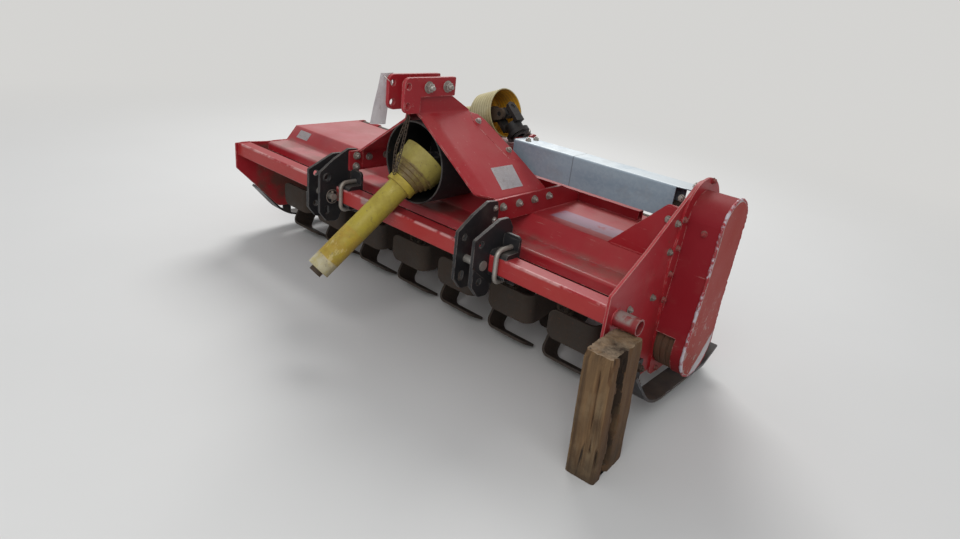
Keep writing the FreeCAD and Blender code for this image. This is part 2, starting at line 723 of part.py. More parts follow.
yoke = fork((26, 78))
yoke.rotate(Vector(0, 0, 0), Z, 180)
yoke.rotate(Vector(0, 0, 0), Y, 90)
yoke.translate(JOINT)
yoke = yoke.fuse([along(shoulder_r, tube_start, tube_start + 10), along(22, 78, tube_start + 10)])
save("shaft_yoke", shaft_pose(yoke.removeSplitter()))
tube_span = (tube_start, tube_end)
profile_span = (tube_start + 10, tube_end + 14)
profile_bore = along(profile_r - profile_wall, profile_span[0] + 10, profile_span[1])
save("profile_tube", shaft_pose(along(profile_r, *profile_span).cut(profile_bore)))
save("shield_tube", shaft_pose(along(tube_r, *tube_span).cut(along(tube_r - tube_wall, *tube_span))))
collar_span = (tube_start - 8, tube_start - 8 + collar_w)
save("shield_collar", shaft_pose(along(collar_r, *collar_span).cut(along(tube_r, *collar_span))))
bell_mouth = JOINT + Y * bell_back
save("shield_bell", shaft_pose(bell(bell_mouth, -Y, bell_r, bell_cup, collar_span[0] + bell_back)))

# The other driveshaft half: its bell lies on the gearbox, and its yoke droops out of the mouth
tilt = math.radians(spare_tilt)
spare_z = gearbox_top_z + seat_gap + spare_cup[0] * math.sin(tilt) + spare_cup[1] * math.cos(tilt)
spare_mouth = Vector(spare_x, spare_y, spare_z)


def spare_pose(shape):
    shape = shape.copy()
    shape.rotate(spare_mouth, Y, -spare_tilt)
    return shape


def spare_along(r, start, stop):
    return rod(spare_mouth - X * start, -X, r, stop - start)


spare_tube = spare_along(tube_r, spare_bell_length, spare_length)
spare_tube = spare_tube.cut(spare_along(tube_r - tube_wall, spare_bell_length, spare_length))
spare_shield = bell(spare_mouth, -X, spare_bell_r, spare_cup, spare_bell_length).fuse(spare_tube)
save("spare_shield", spare_pose(spare_shield.removeSplitter()))
inner_fork = fork((26, 70))
inner_fork.rotate(Vector(0, 0, 0), Z, 90)
inner_fork.translate(spare_mouth)
spare_shaft = spare_along(profile_r, 70, spare_length - 6)
spare_shoulder = spare_along(shoulder_r, spare_bell_length + 6, spare_bell_length + 16)
spare_shaft = spare_shaft.fuse([inner_fork, spare_shoulder])
save("spare_shaft", spare_pose(spare_shaft.removeSplitter()))
spare_end = fork((27, spare_yoke_end))
spare_end = spare_end.fuse([cross(trunnion_r + running_gap), rod(Vector(0, 74, 0), Y, 38, 12)])
spare_end = spare_end.cut(rod(Vector(0, ear_base + 4, 0), Y, input_r, spare_yoke_end))
spare_end.rotate(Vector(0, 0, 0), Z, -90)
spare_end.rotate(Vector(0, 0, 0), X, 90)
spare_end.rotate(Vector(0, 0, 0), Y, spare_droop)
spare_end.translate(spare_mouth)
save("spare_yoke", spare_end.removeSplitter())


def tine(bend):
    """One tine that points down: shank flat on its flange, then a wide flat bent along X by bend (-1, 1)."""
    shank_top = -rotor_tube_r - seat_gap
    tip_z = -tine_tip_r
    section = [(0, shank_top, 0), (tine_t, shank_top, 0), (tine_t, tip_z + tine_t, tine_bend),
               (tine_reach, tip_z + tine_t, 0), (tine_reach, tip_z, 0), (0, tip_z, tine_bend + tine_t)]
    half_w = tine_w / 2
    half_shank = tine_shank_w / 2
    widen_z = tip_z + 60
    blank = [(-half_shank, shank_top, 0), (half_shank, shank_top, 0), (half_w, widen_z, 0),
             (half_w, tip_z - 1, 0), (-half_w, tip_z - 1, 0), (-half_w, widen_z, 0)]
    piece = plate_y(section, -half_w, half_w)
    piece = piece.common(plate_x(blank, -1, tine_reach + 1))
    tip = [e for e in piece.Edges if e.BoundBox.XMin > tine_reach - 0.1 and e.BoundBox.ZLength > 1]
    piece = piece.makeFillet(tine_corner, tip)
    return piece if bend > 0 else mirror_x(piece)


# Rotor: tube, flanges and journals as one piece. End flanges have tines on their inner side only.
flange_x = [flange_first_x - i * flange_pitch for i in range(flange_count)]
rotor_tube = bar_x(rotor_y, rotor_z, rotor_tube_r, left_inner_x + 6, right_inner_x - 6)
journal = bar_x(rotor_y, rotor_z, journal_r, left_outer_x - 20, right_outer_x + 38)
flanges = [bar_x(rotor_y, rotor_z, flange_r, x - flange_t / 2, x + flange_t / 2) for x in flange_x]
save("rotor_tube", rotor_tube.fuse(flanges + [journal]).removeSplitter())
tines = []
for i, x in enumerate(flange_x):
    for k in range(tines_per_flange):
        bend = -1 if k % 2 == 0 else 1
        outwards = (i == 0 and bend > 0) or (i == flange_count - 1 and bend < 0)
        if outwards:
            continue
        piece = tine(bend)
        piece.rotate(Vector(0, 0, 0), X, tine_dip - 90 + k * 360.0 / tines_per_flange)
        piece.translate(AXIS + X * (x + bend * flange_t / 2))
        tines.append(piece)
save("tines", *tines)

# Tailboard: a sheet that hangs by knuckles from a rod behind the hood, its edges behind the end plates
knuckle_r = board_hinge_r + 5
board_x = (left_outer_x, right_outer_x)
board_path = [(board_hinge_y + 44, board_bottom_z + 4), (board_hinge_y + 60, board_bottom_z + 20),
              (board_hinge_y + 25, -120), (board_hinge_y + 11, board_hinge_z - 7)]
board = plate_x(sheet_corners(board_path, board_t, (hood_bend, hood_bend)), *board_x)
for x0 in (left_outer_x - 1, right_inner_x - 4):
    board = board.cut(box((x0, x0 + end_plate_t + 5), (board_hinge_y - 20, board_hinge_y + 40), (0, 60)))
knuckle_step = (right_inner_x - left_inner_x - 2 * knuckle_edge) / (knuckle_count - 1)
for i in range(knuckle_count):
    x0 = left_inner_x + knuckle_edge + i * knuckle_step - knuckle_w / 2
    board = board.fuse(bar_x(board_hinge_y, board_hinge_z, knuckle_r, x0, x0 + knuckle_w))
board = board.cut(bar_x(board_hinge_y, board_hinge_z, board_hinge_r + running_gap, *board_x))
lift_pin = (board_hinge_y + 94, board_hinge_z - 206)
lift_ear = [(lift_pin[0] - 64, lift_pin[1] + 40, 0), (lift_pin[0] + 16, lift_pin[1] + 10, 14),
            (lift_pin[0] + 16, lift_pin[1] - 16, 14), (lift_pin[0] - 54, lift_pin[1] - 50, 0)]
lift_bore = bar_x(*lift_pin, lift_pin_r + running_gap, *board_x)
for x0 in (-lift_ear_gap / 2 - lift_ear_t, lift_ear_gap / 2):
    board = board.fuse(plate_x(lift_ear, x0, x0 + lift_ear_t).cut(lift_bore))
save("tailboard", board.removeSplitter())
save("tailboard_hinge_rod", bar_x(board_hinge_y, board_hinge_z, board_hinge_r, *bar_length))

# Lift bracket behind the rear bar with its swivel, and the rod from the swivel to the tailboard
cheek_front = rear_bar_y + rear_bar_size + 2
cheek_x = swivel_gap / 2
cheek = plate_x([(cheek_front, hood_top_z, 0), (cheek_front, 100, 20), (swivel[0] - 24, swivel[1] + 14, 18),
                 (swivel[0] + 14, swivel[1] + 24, 18), (swivel[0] + 24, swivel[1] - 16, 14),
                 (hood_rear_y - hood_bend, hood_top_z, 0)], cheek_x, cheek_x + 8)
cheek = cheek.cut(bar_x(*swivel, swivel_pin_r + running_gap, cheek_x, cheek_x + 8))
save("lift_bracket_right", cheek)
save("lift_bracket_left", mirror_x(cheek))
rod_run = math.hypot(swivel[0] - lift_pin[0], swivel[1] - lift_pin[1])
rod_dir = Vector(0, swivel[0] - lift_pin[0], swivel[1] - lift_pin[1]).normalize()
rod_foot = Vector(0, *lift_pin)
lift_rod = rod(rod_foot + rod_dir * 10, rod_dir, lift_rod_r, rod_run + 26)
lift_rod = lift_rod.fuse([
    bar_x(*lift_pin, 14, -lift_ear_gap / 2 + 1, lift_ear_gap / 2 - 1),
    bar_x(*lift_pin, lift_pin_r, -lift_ear_gap, lift_ear_gap),
    rod(rod_foot + rod_dir * (rod_run + swivel_r + 1), rod_dir, 16, 10),
])
save("lift_rod", lift_rod.removeSplitter())
block = bar_x(*swivel, swivel_r, 0.5 - cheek_x, cheek_x - 0.5)
block = block.fuse(bar_x(*swivel, swivel_pin_r, -cheek_x - 12, cheek_x + 12))
bore_start = rod_foot + rod_dir * (rod_run - 2 * swivel_r)
block = block.cut(rod(bore_start, rod_dir, lift_rod_r + rod_play, 4 * swivel_r))
save("lift_swivel", block.removeSplitter())
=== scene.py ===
import bpy
import bmesh
import json
import math
from mathutils import Matrix, Vector, noise
from mathutils.bvhtree import BVHTree


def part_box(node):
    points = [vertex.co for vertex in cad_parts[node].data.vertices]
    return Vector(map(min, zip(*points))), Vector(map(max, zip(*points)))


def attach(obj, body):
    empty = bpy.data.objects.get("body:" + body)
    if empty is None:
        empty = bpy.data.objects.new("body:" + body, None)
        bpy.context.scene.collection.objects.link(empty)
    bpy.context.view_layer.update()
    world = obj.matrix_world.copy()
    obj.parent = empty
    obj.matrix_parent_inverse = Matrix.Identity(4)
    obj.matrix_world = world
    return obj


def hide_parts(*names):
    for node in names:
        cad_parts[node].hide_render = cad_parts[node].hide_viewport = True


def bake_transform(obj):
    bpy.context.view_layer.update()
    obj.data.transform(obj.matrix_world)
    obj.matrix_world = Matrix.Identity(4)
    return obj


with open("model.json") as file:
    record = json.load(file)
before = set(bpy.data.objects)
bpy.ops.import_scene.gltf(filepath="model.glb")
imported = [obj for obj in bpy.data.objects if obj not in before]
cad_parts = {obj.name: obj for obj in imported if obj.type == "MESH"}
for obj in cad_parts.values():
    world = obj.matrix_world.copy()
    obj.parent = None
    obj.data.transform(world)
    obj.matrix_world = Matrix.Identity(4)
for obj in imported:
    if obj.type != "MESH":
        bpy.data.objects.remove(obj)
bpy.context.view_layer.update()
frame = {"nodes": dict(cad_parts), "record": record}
NODES = frame["nodes"]

# The part's source measures in millimetres from the toolbar: this is the row's origin there
ORIGIN = Vector((0.0, -19.0, 380.0))
FLOOR_Z = (-400.0 - ORIGIN.z) / 1000.0
ROTOR = (358.0, -191.73)
CASE_TOP = (0, 376, 158)
CASE_FOOT = (0, 355, ROTOR[1] + 8)
LEG_SLOPE = (187.0, 0.0, 270.0)


def at(x, y, z):
    """A point in the source's millimetres, as metres in the row frame."""
    return (Vector((x, y, z)) - ORIGIN) / 1000.0


# Camera, as the photograph's
scene = bpy.context.scene
scene.view_settings.view_transform = "Standard"
camera_data = bpy.data.cameras.new("camera")
camera_data.sensor_width = 36.0
camera_data.lens = 24.004
camera_data.clip_start = 0.02
camera = bpy.data.objects.new("camera", camera_data)
scene.collection.objects.link(camera)
right = Vector((0.73260625, 0.67228386, 0.10640726))
down = Vector((0.34310025, -0.22973127, -0.91077207))
forward = Vector((-0.58785228, 0.70374566, -0.39896332))
turn = Matrix((right, -down, -forward)).transposed()
camera.matrix_world = Matrix.Translation((1.37765, -1.21252, 0.26336)) @ turn.to_4x4()
scene.camera = camera


class Shader:
    """A material's node tree with short calls for the nodes used here."""

    def __init__(self, owner):
        owner.use_nodes = True
        self.owner = owner
        self.tree = owner.node_tree
        self.tree.nodes.clear()
        self.coords = self.add("TexCoord").outputs["Object"]

    def add(self, kind, inputs=(), **settings):
        node = self.tree.nodes.new("ShaderNode" + kind)
        for key, value in settings.items():
            setattr(node, key, value)
        for key, value in dict(inputs).items():
            self.put(node.inputs[key], value)
        return node

    def put(self, socket, value):
        if isinstance(value, bpy.types.NodeSocket):
            self.tree.links.new(value, socket)
        elif socket.type == "RGBA" and len(value) == 3:
            socket.default_value = (*value, 1.0)
        else:
            socket.default_value = value

    def math(self, operation, a, b=0.0, clamp=False):
        return self.add("Math", {0: a, 1: b}, operation=operation, use_clamp=clamp).outputs[0]

    def times(self, *values):
        result = values[0]
        for value in values[1:]:
            result = self.math("MULTIPLY", result, value)
        return result

    def vector(self, operation, a, b, output="Vector"):
        return self.add("VectorMath", {0: a, 1: b}, operation=operation).outputs[output]

    def stretch(self, scale):
        return self.add("Mapping", {"Vector": self.coords, "Scale": scale}).outputs[0]

    def noise(self, scale, detail=4.0, rough=0.55, stretch=None, distort=0.0):
        vector = self.stretch(stretch) if stretch else self.coords
        inputs = {"Vector": vector, "Scale": scale, "Detail": detail}
        inputs.update({"Roughness": rough, "Distortion": distort})
        return self.add("TexNoise", inputs).outputs["Fac"]

    def cells(self, scale):
        return self.add("TexVoronoi", {"Vector": self.coords, "Scale": scale}).outputs["Color"]

    def span(self, value, low, high, out_low=0.0, out_high=1.0):
        inputs = {"Value": value, "From Min": low, "From Max": high, "To Min": out_low, "To Max": out_high}
        return self.add("MapRange", inputs, clamp=True).outputs[0]

    def mix(self, factor, a, b):
        node = self.add("Mix", data_type="RGBA")
        self.put(node.inputs[0], factor)
        self.put(node.inputs[6], a)
        self.put(node.inputs[7], b)
        return node.outputs[2]

    def part(self, vector, axis):
        return self.add("SeparateXYZ", {0: vector}).outputs[axis]

    def normal(self):
        return self.add("NewGeometry").outputs["Normal"]

    def facing_up(self, low=0.2, high=0.9):
        return self.span(self.part(self.normal(), 2), low, high)

    def edges(self, radius, low=0.02, high=0.25):
        """1 along the sharp edges of a piece, 0 on its flats."""
        rounded = self.add("Bevel", {"Radius": radius}, samples=4).outputs[0]
        same = self.vector("DOT_PRODUCT", rounded, self.normal(), "Value")
        return self.span(self.math("SUBTRACT", 1.0, same), low, high)

    def within(self, low, high, soft):
        """1 inside a box given by two corners in the source's millimetres, with soft sides in mm."""
        result = 1.0
        a, b = at(*low), at(*high)
        edge = soft / 1000.0
        for axis in range(3):
            value = self.part(self.coords, axis)
            result = self.times(self.span(value, a[axis] - edge, a[axis] + edge), result)
            result = self.times(self.span(value, b[axis] + edge, b[axis] - edge), result)
        return result

    def finish(self, colour, rough, height=None, bump=0.1, distance=0.002, metallic=0.0, gleam=0.35):
        inputs = {"Base Color": colour, "Roughness": rough, "Metallic": metallic, "Specular IOR Level": gleam}
        shader = self.add("BsdfPrincipled", inputs)
        if height is not None:
            inputs = {"Height": height, "Strength": bump, "Distance": distance}
            self.put(shader.inputs["Normal"], self.add("Bump", inputs).outputs[0])
        output = self.add("OutputMaterial")
        self.tree.links.new(shader.outputs[0], output.inputs[0])
        return self.owner


DUST = (0.33, 0.265, 0.20)
SOIL = (0.095, 0.065, 0.043)
RUST = (0.15, 0.055, 0.026)
BARE = (0.50, 0.44, 0.41)
RIB_PITCH = 0.011


def shader(name):
    return Shader(bpy.data.materials.new(name))


def painted(name, colour, faded, worn, chip=0.6, dust=0.14, gloss=0.34, marks=None, gleam=0.3):
    """Old machine paint: faded clouds, scratches, chipped edges, rust freckles and dust on what faces up.
    gloss is the roughness of clean paint, gleam its specular level, marks adds local wear and dirt, and on
    some parts painted reflections, highlights and shade."""
    s = shader(name)
    tone = s.mix(s.span(s.noise(2.3, 5.0), 0.4, 0.68), colour, faded)
    streak = s.span(s.noise(5.0, 6.0, stretch=(0.6, 0.6, 9.0)), 0.45, 0.75)
    tone = s.mix(s.times(streak, 0.2), tone, faded)
    deep = s.span(s.noise(3.1, 7.0, 0.6), 0.56, 0.7)
    tone = s.mix(s.times(deep, 0.45), tone, [c * 0.62 for c in colour])
    if marks:
        tone = marks(s, tone)
    scratch = s.times(s.span(s.noise(9.0, 9.0, 0.7, stretch=(1.0, 14.0, 14.0)), 0.635, 0.66), s.noise(3.0))
    tone = s.mix(s.times(scratch, 0.65), tone, worn)
    spots = s.times(s.span(s.noise(55.0, 8.0, 0.7), 0.645, 0.70), s.span(s.noise(4.0), 0.42, 0.58))
    tone = s.mix(spots, tone, RUST)
    rim = s.times(s.edges(0.004), s.span(s.noise(38.0, 6.0, 0.65), 0.6 - chip * 0.2, 0.68 - chip * 0.2))
    tone = s.mix(rim, tone, worn)
    powder = s.times(s.facing_up(), s.span(s.noise(7.0, 9.0, 0.7), 0.36, 0.74), dust)
    film = s.times(s.span(s.noise(14.0, 8.0, 0.65), 0.52, 0.78), dust * 0.5)
    powder = s.math("MAXIMUM", powder, film)
    tone = s.mix(powder, tone, DUST)
    low = s.span(s.part(s.coords, 2), -0.50, -0.76)
    splash = s.times(low, s.span(s.noise(9.0, 10.0, 0.74), 0.40, 0.70), 0.85)
    tone = s.mix(splash, tone, SOIL)
    dull = s.math("MAXIMUM", powder, splash)
    rough = s.span(s.noise(6.0), 0.3, 0.7, gloss - 0.06, gloss + 0.12)
    rough = s.math("ADD", rough, s.times(dull, 0.5), True)
    height = s.math("SUBTRACT", s.noise(90.0, 6.0), s.times(rim, 0.8))
    return s.finish(tone, rough, height, 0.12, 0.0012, gleam=gleam)


PATCHES = {
    # corners in mm, colour, amount, soft edge in mm, noise scale, noise from and to
    # painted reflection: a pale pink sheen of the sky on the left of the deck
    "painted_sky_sheen": ((-960, 262, 40), (-330, 640, 56), (0.60, 0.36, 0.38), 0.85, 50, 2.2, (0.25, 0.55)),
    # painted highlight: pale pink on the upward face of the hood's step at the left
    "painted_step_highlight": ((-960, 120, -8), (-380, 216, 6), (0.58, 0.34, 0.35), 0.7, 10, 3.0, (0.3, 0.55)),
    # painted reflection: a lavender patch of sky mirrored on the deck
    "painted_deck_reflection": ((345, 303, 40), (582, 382, 56), (0.27, 0.19, 0.27), 0.75, 4, 9.0, (0.3, 0.42)),
    # darker brown band across the rear of the deck, behind the side guard
    "deck_rear_dark": ((-900, 420, 40), (740, 590, 56), (0.20, 0.12, 0.09), 0.55, 40, 6.0, (0.42, 0.55)),
    # painted shade: the strip between the toolbar and the hood's rise darkened
    "painted_step_shade": ((-930, 125, -8), (745, 222, 6), (0.17, 0.10, 0.08), 0.7, 8, 8.0, (0.42, 0.55)),
    "bar_front": ((-936, -2, -60), (748, 2, -4), (0.40, 0.045, 0.03), 0.6, 3, 3.0, (0.2, 0.5)),
    "bar_edge": ((-936, -2, -6), (748, 7, 2), (0.58, 0.30, 0.29), 0.75, 2, 16.0, (0.44, 0.56)),
    "bar_smudge": ((-176, -2, -20), (-140, 6, 2), (0.30, 0.27, 0.26), 0.8, 4, 30.0, (0.3, 0.45)),
    "left_dirt": ((-950, 75, -290), (-930, 600, -15), (0.10, 0.06, 0.045), 0.8, 8, 5.0, (0.42, 0.55)),
    "right_wear": ((756, -12, 20), (762, 260, 260), (0.42, 0.10, 0.10), 0.5, 8, 6.0, (0.42, 0.55)),
    "arch_dirt": ((744, 240, -290), (752, 620, 10), (0.10, 0.06, 0.045), 0.8, 10, 5.0, (0.42, 0.55)),
    "pipe_wear": ((764, 10, -30), (806, 60, -8), (0.26, 0.22, 0.20), 0.85, 4, 30.0, (0.42, 0.52)),
}


def worn(*names):
    """Marks inside the named boxes: worn or dirty paint, and painted reflections, highlights and shade."""
    def apply(s, tone):
        for name in names:
            low, high, colour, amount, soft, scale, ends = PATCHES[name]
            ragged = s.span(s.noise(scale, 8.0, 0.68), *ends)
            tone = s.mix(s.times(s.within(low, high, soft), ragged, amount), tone, colour)
        return tone
    return apply


def case_marks(s, tone):
    """Chain case: browner outer face, side walls darkened as painted shade, bare worn rim, chips and a bare
    corner at the foot.
    """
    across = s.part(s.normal(), 0)
    face = s.span(across, 0.9, 0.98)
    tone = s.mix(s.times(face, 0.7), tone, (0.31, 0.040, 0.026))
    # painted shade: the side walls darker than the outer face
    wall = s.span(across, 0.3, 0.1)
    tone = s.mix(s.times(wall, 0.65), tone, (0.165, 0.007, 0.013))
    rim = s.times(s.span(across, 0.15, 0.35), s.span(across, 0.985, 0.94))
    rim = s.times(rim, s.span(s.noise(34.0, 8.0, 0.7), 0.30, 0.40), 0.9)
    tone = s.mix(rim, tone, BARE)
    low = s.times(s.span(s.part(s.coords, 2), -0.36, -0.60), face)
    chips = s.times(low, s.span(s.noise(36.0, 9.0, 0.75), 0.56, 0.60))
    tone = s.mix(chips, tone, (0.40, 0.27, 0.25))
    out = s.vector("SUBTRACT", s.coords, at(*CASE_FOOT))
    back_and_down = Vector((0, 1, -1)).normalized()
    reach = s.vector("DOT_PRODUCT", out, back_and_down, "Value")
    reach = s.math("ADD", reach, s.times(s.noise(22.0, 8.0, 0.7), 0.03))
    foot = s.times(s.span(reach, 0.057, 0.062), face, 0.9)
    tone = s.mix(foot, tone, (0.55, 0.54, 0.56))
    smears = s.times(s.span(s.noise(7.0, 7.0, 0.6, stretch=(1.0, 2.2, 0.7)), 0.59, 0.68), face, 0.35)
    return s.mix(smears, tone, (0.40, 0.13, 0.10))


def galvanised(name):
    """Zinc-dipped sheet: soft cloudy streaks, white rust and painted sunlight on top, faint spangle."""
    s = shader(name)
    streak = s.noise(3.2, 7.0, 0.62, stretch=(0.5, 1.0, 3.0))
    tone = s.mix(s.span(streak, 0.36, 0.66), (0.19, 0.25, 0.31), (0.28, 0.345, 0.40))
    spangle = s.part(s.cells(130.0), 0)
    tone = s.mix(s.times(s.span(spangle, 0.2, 0.9), 0.14), tone, (0.42, 0.48, 0.52))
    # lighter on what faces up: white zinc rust and painted sunlight on the top
    bloom_and_top_light = s.times(s.facing_up(0.5, 0.95), s.span(s.noise(9.0, 8.0, 0.7), 0.2, 0.5))
    tone = s.mix(bloom_and_top_light, tone, (0.50, 0.54, 0.56))
    seam = s.within((373.0, 320.0, 120.0), (375.5, 420.0, 240.0), 0.8)
    tone = s.mix(s.times(seam, 0.75), tone, (0.09, 0.10, 0.11))
    grime = s.times(s.span(s.noise(11.0, 9.0, 0.7), 0.54, 0.72), 0.3)
    tone = s.mix(grime, tone, (0.2, 0.17, 0.14))
    rim = s.times(s.edges(0.003), s.span(s.noise(30.0), 0.5, 0.7))
    tone = s.mix(s.times(rim, 0.5), tone, (0.22, 0.13, 0.09))
    rough = s.span(streak, 0.3, 0.7, 0.4, 0.58)
    return s.finish(tone, rough, s.noise(60.0), 0.05, 0.001, metallic=0.25)


def steel(name, colour, stain, amount, metallic, rough, bump, shine, wear):
    """Bare or plated metal with stains, dirt and polished edges."""
    s = shader(name)
    tone = s.mix(s.noise(18.0, 6.0), colour, [c * 0.72 for c in colour])
    marks = s.times(s.span(s.noise(16.0, 9.0, 0.72), 0.5 - amount * 0.2, 0.68 - amount * 0.1), amount)
    tone = s.mix(marks, tone, stain)
    freckle = s.span(s.noise(130.0, 6.0, 0.7), 0.6, 0.7)
    tone = s.mix(s.times(freckle, amount * 0.7), tone, RUST)
    rim = s.times(s.edges(0.003), s.span(s.noise(26.0, 7.0, 0.65), 0.5, 0.62), wear)
    tone = s.mix(rim, tone, shine)
    gloss = s.span(marks, 0.0, 1.0, rough, min(1.0, rough + 0.4))
    height = s.math("ADD", s.noise(70.0, 8.0, 0.7), marks)
    return s.finish(tone, gloss, height, bump, 0.0015, metallic=metallic)


def plastic(name, clean, bleached, dirt, amount, start=None, way=None, bands=(), inside=None, ribs=0.0):
    """Sun-bleached guard plastic. start and way give the shaft, bands are rows along it, inside is the colour
    of the surfaces that face it as painted light (shade in the fitted bell, sunlight in the spare's mouth)
    and ribs the depth of its fine rings."""
    s = shader(name)
    tone = s.mix(s.span(s.noise(6.0, 6.0), 0.42, 0.76), clean, bleached)
    height = s.noise(60.0, 8.0)
    if start:
        out = s.vector("SUBTRACT", s.coords, at(*start))
        run = s.vector("DOT_PRODUCT", out, Vector(way).normalized(), "Value")
        for a, b, colour, strength in bands:
            edge = s.math("ADD", run, s.times(s.math("SUBTRACT", s.noise(40.0, 7.0), 0.5), 0.012))
            band = s.times(s.span(edge, a / 1000, (a + 4) / 1000), s.span(edge, b / 1000, (b - 4) / 1000))
            patchy = s.span(s.noise(26.0, 9.0, 0.72), 0.38, 0.52, 0.25, 1.0)
            tone = s.mix(s.times(band, patchy, strength), tone, colour)
        if inside:
            spoke = s.vector("CROSS_PRODUCT", out, Vector(way).normalized())
            spoke = s.vector("CROSS_PRODUCT", Vector(way).normalized(), spoke)
            inner = s.span(s.vector("DOT_PRODUCT", spoke, s.normal(), "Value"), -0.002, -0.02)
            tone = s.mix(inner, tone, inside)
        if ribs:
            ring = s.math("SINE", s.times(run, 2 * math.pi / RIB_PITCH))
            height = s.math("ADD", height, s.times(ring, ribs))
            tone = s.mix(s.times(s.span(ring, 0.2, -0.9), 0.35), tone, dirt)
    grime = s.span(s.noise(20.0, 10.0, 0.72), 0.42, 0.68)
    tone = s.mix(s.times(grime, amount), tone, dirt)
    under = s.times(s.span(s.part(s.normal(), 2), 0.1, -0.7), s.span(s.noise(9.0, 8.0, 0.65), 0.3, 0.55))
    tone = s.mix(s.times(under, 0.6), tone, dirt)
    scuff = s.span(s.noise(14.0, 8.0, 0.7, stretch=(3.0, 1.0, 1.0)), 0.62, 0.68)
    tone = s.mix(s.times(scuff, 0.4), tone, (0.66, 0.56, 0.28))
    specks = s.span(s.noise(90.0, 6.0, 0.7), 0.60, 0.66)
    tone = s.mix(s.times(specks, 0.6), tone, (0.10, 0.07, 0.045))
    rough = s.span(grime, 0.0, 1.0, 0.45, 0.8)
    return s.finish(tone, rough, height, 0.1, 0.001)


def wood(name):
    """Weathered timber with its grain upright, cracks and dark stains, and painted shade on the side that
    faces +x, on the faces inside the split and in hollows.
    """
    s = shader(name)
    grain = s.noise(30.0, 10.0, 0.62, stretch=(1.0, 1.0, 0.045), distort=1.3)
    fine = s.noise(120.0, 8.0, 0.6, stretch=(1.0, 1.0, 0.03))
    tone = s.mix(s.span(grain, 0.36, 0.64), (0.060, 0.032, 0.015), (0.205, 0.120, 0.055))
    tone = s.mix(s.times(s.span(fine, 0.42, 0.62), 0.45), tone, (0.10, 0.062, 0.032))
    pale = s.times(s.span(s.noise(4.0, 7.0, 0.6), 0.5, 0.66), s.span(fine, 0.42, 0.56))
    tone = s.mix(s.times(pale, 0.6), tone, (0.30, 0.215, 0.12))
    grey = s.times(s.span(s.noise(7.0, 8.0, 0.65), 0.5, 0.72), 0.5)
    tone = s.mix(grey, tone, (0.15, 0.13, 0.09))
    # painted shade: the side that faces +x is darker
    side = s.span(s.part(s.normal(), 0), 0.3, 0.8)
    tone = s.mix(s.times(side, 0.65), tone, (0.085, 0.036, 0.014))
    crack = s.span(s.noise(20.0, 6.0, 0.55, stretch=(1.0, 1.0, 0.035), distort=0.7), 0.40, 0.36)
    tone = s.mix(crack, tone, (0.012, 0.008, 0.005))
    # painted shade on the faces inside the split
    split_shade = s.times(s.within((800, -100, -420), (900, -30, 0), 8), s.span(s.part(s.normal(), 0), 0.93, 0.65))
    tone = s.mix(s.times(split_shade, 0.9), tone, (0.018, 0.010, 0.006))
    # painted shade in hollows, found by pointiness
    pit = s.span(s.add("NewGeometry").outputs["Pointiness"], 0.485, 0.43)
    tone = s.mix(pit, tone, (0.012, 0.008, 0.005))
    foot = s.times(s.span(s.part(s.coords, 2), -0.60, -0.78), s.span(s.noise(18.0, 8.0), 0.35, 0.6))
    tone = s.mix(s.times(foot, 0.8), tone, (0.05, 0.033, 0.02))
    end = s.times(s.facing_up(0.5, 0.85), s.span(s.noise(40.0, 8.0, 0.7), 0.36, 0.62))
    tone = s.mix(s.times(end, 0.7), tone, (0.27, 0.20, 0.13))
    height = s.math("SUBTRACT", s.math("ADD", grain, s.times(fine, 0.5)), s.times(crack, 1.5))
    return s.finish(tone, 0.9, height, 0.75, 0.005)


def label(name):
    """Blank sticker or card: grey-white film, dirty and scuffed."""
    s = shader(name)
    tone = s.mix(s.span(s.noise(20.0, 6.0), 0.35, 0.7), (0.80, 0.80, 0.81), (0.66, 0.66, 0.68))
    dirt = s.span(s.noise(48.0, 8.0, 0.7), 0.54, 0.7)
    tone = s.mix(s.times(dirt, 0.5), tone, (0.32, 0.25, 0.22))
    rim = s.times(s.edges(0.003), 0.4)
    tone = s.mix(rim, tone, (0.34, 0.26, 0.24))
    return s.finish(tone, 0.5, s.noise(60.0), 0.05, 0.0006)


def bare_weld(name):
    """Weld bead and plate edge rubbed bare, with what is left of the paint."""
    s = shader(name)
    left = s.span(s.noise(30.0, 8.0, 0.7), 0.46, 0.54)
    left = s.math("MAXIMUM", left, s.span(s.part(s.coords, 1), 0.392, 0.412))
    tone = s.mix(left, (0.50, 0.46, 0.50), (0.32, 0.03, 0.035))
    grime = s.span(s.noise(60.0, 8.0, 0.7), 0.52, 0.66)
    tone = s.mix(s.times(grime, 0.6), tone, (0.20, 0.13, 0.12))
    return s.finish(tone, 0.55, s.noise(90.0, 6.0), 0.3, 0.001, metallic=0.15)


# Paints as fresh, faded and worn to
RED = ((0.31, 0.011, 0.017), (0.37, 0.028, 0.036), (0.50, 0.27, 0.24))
BLACK = ((0.010, 0.010, 0.011), (0.024, 0.023, 0.025), (0.17, 0.15, 0.135))
IRON = ((0.20, 0.014, 0.017), (0.27, 0.04, 0.04), (0.2, 0.12, 0.1))
PIPE = ((0.17, 0.009, 0.013), (0.24, 0.02, 0.025), (0.3, 0.2, 0.18))
SKID = ((0.010, 0.011, 0.015), (0.02, 0.02, 0.026), (0.2, 0.2, 0.22))
DEEP_BLACK = ((0.008, 0.008, 0.009), (0.012, 0.012, 0.013), (0.26, 0.24, 0.22))

# Plastics as clean and bleached, and their dirt
YELLOW = ((0.38, 0.30, 0.032), (0.47, 0.39, 0.085))
# the bell's yellow is darkened below the tube's, as painted shade
SHADED_BELL = ((0.29, 0.235, 0.04), (0.37, 0.31, 0.08))
COLLAR = ((0.42, 0.31, 0.025), (0.50, 0.40, 0.07))
PALE_YELLOW = ((0.50, 0.43, 0.21), (0.60, 0.56, 0.38))
BROWN = (0.15, 0.09, 0.035)

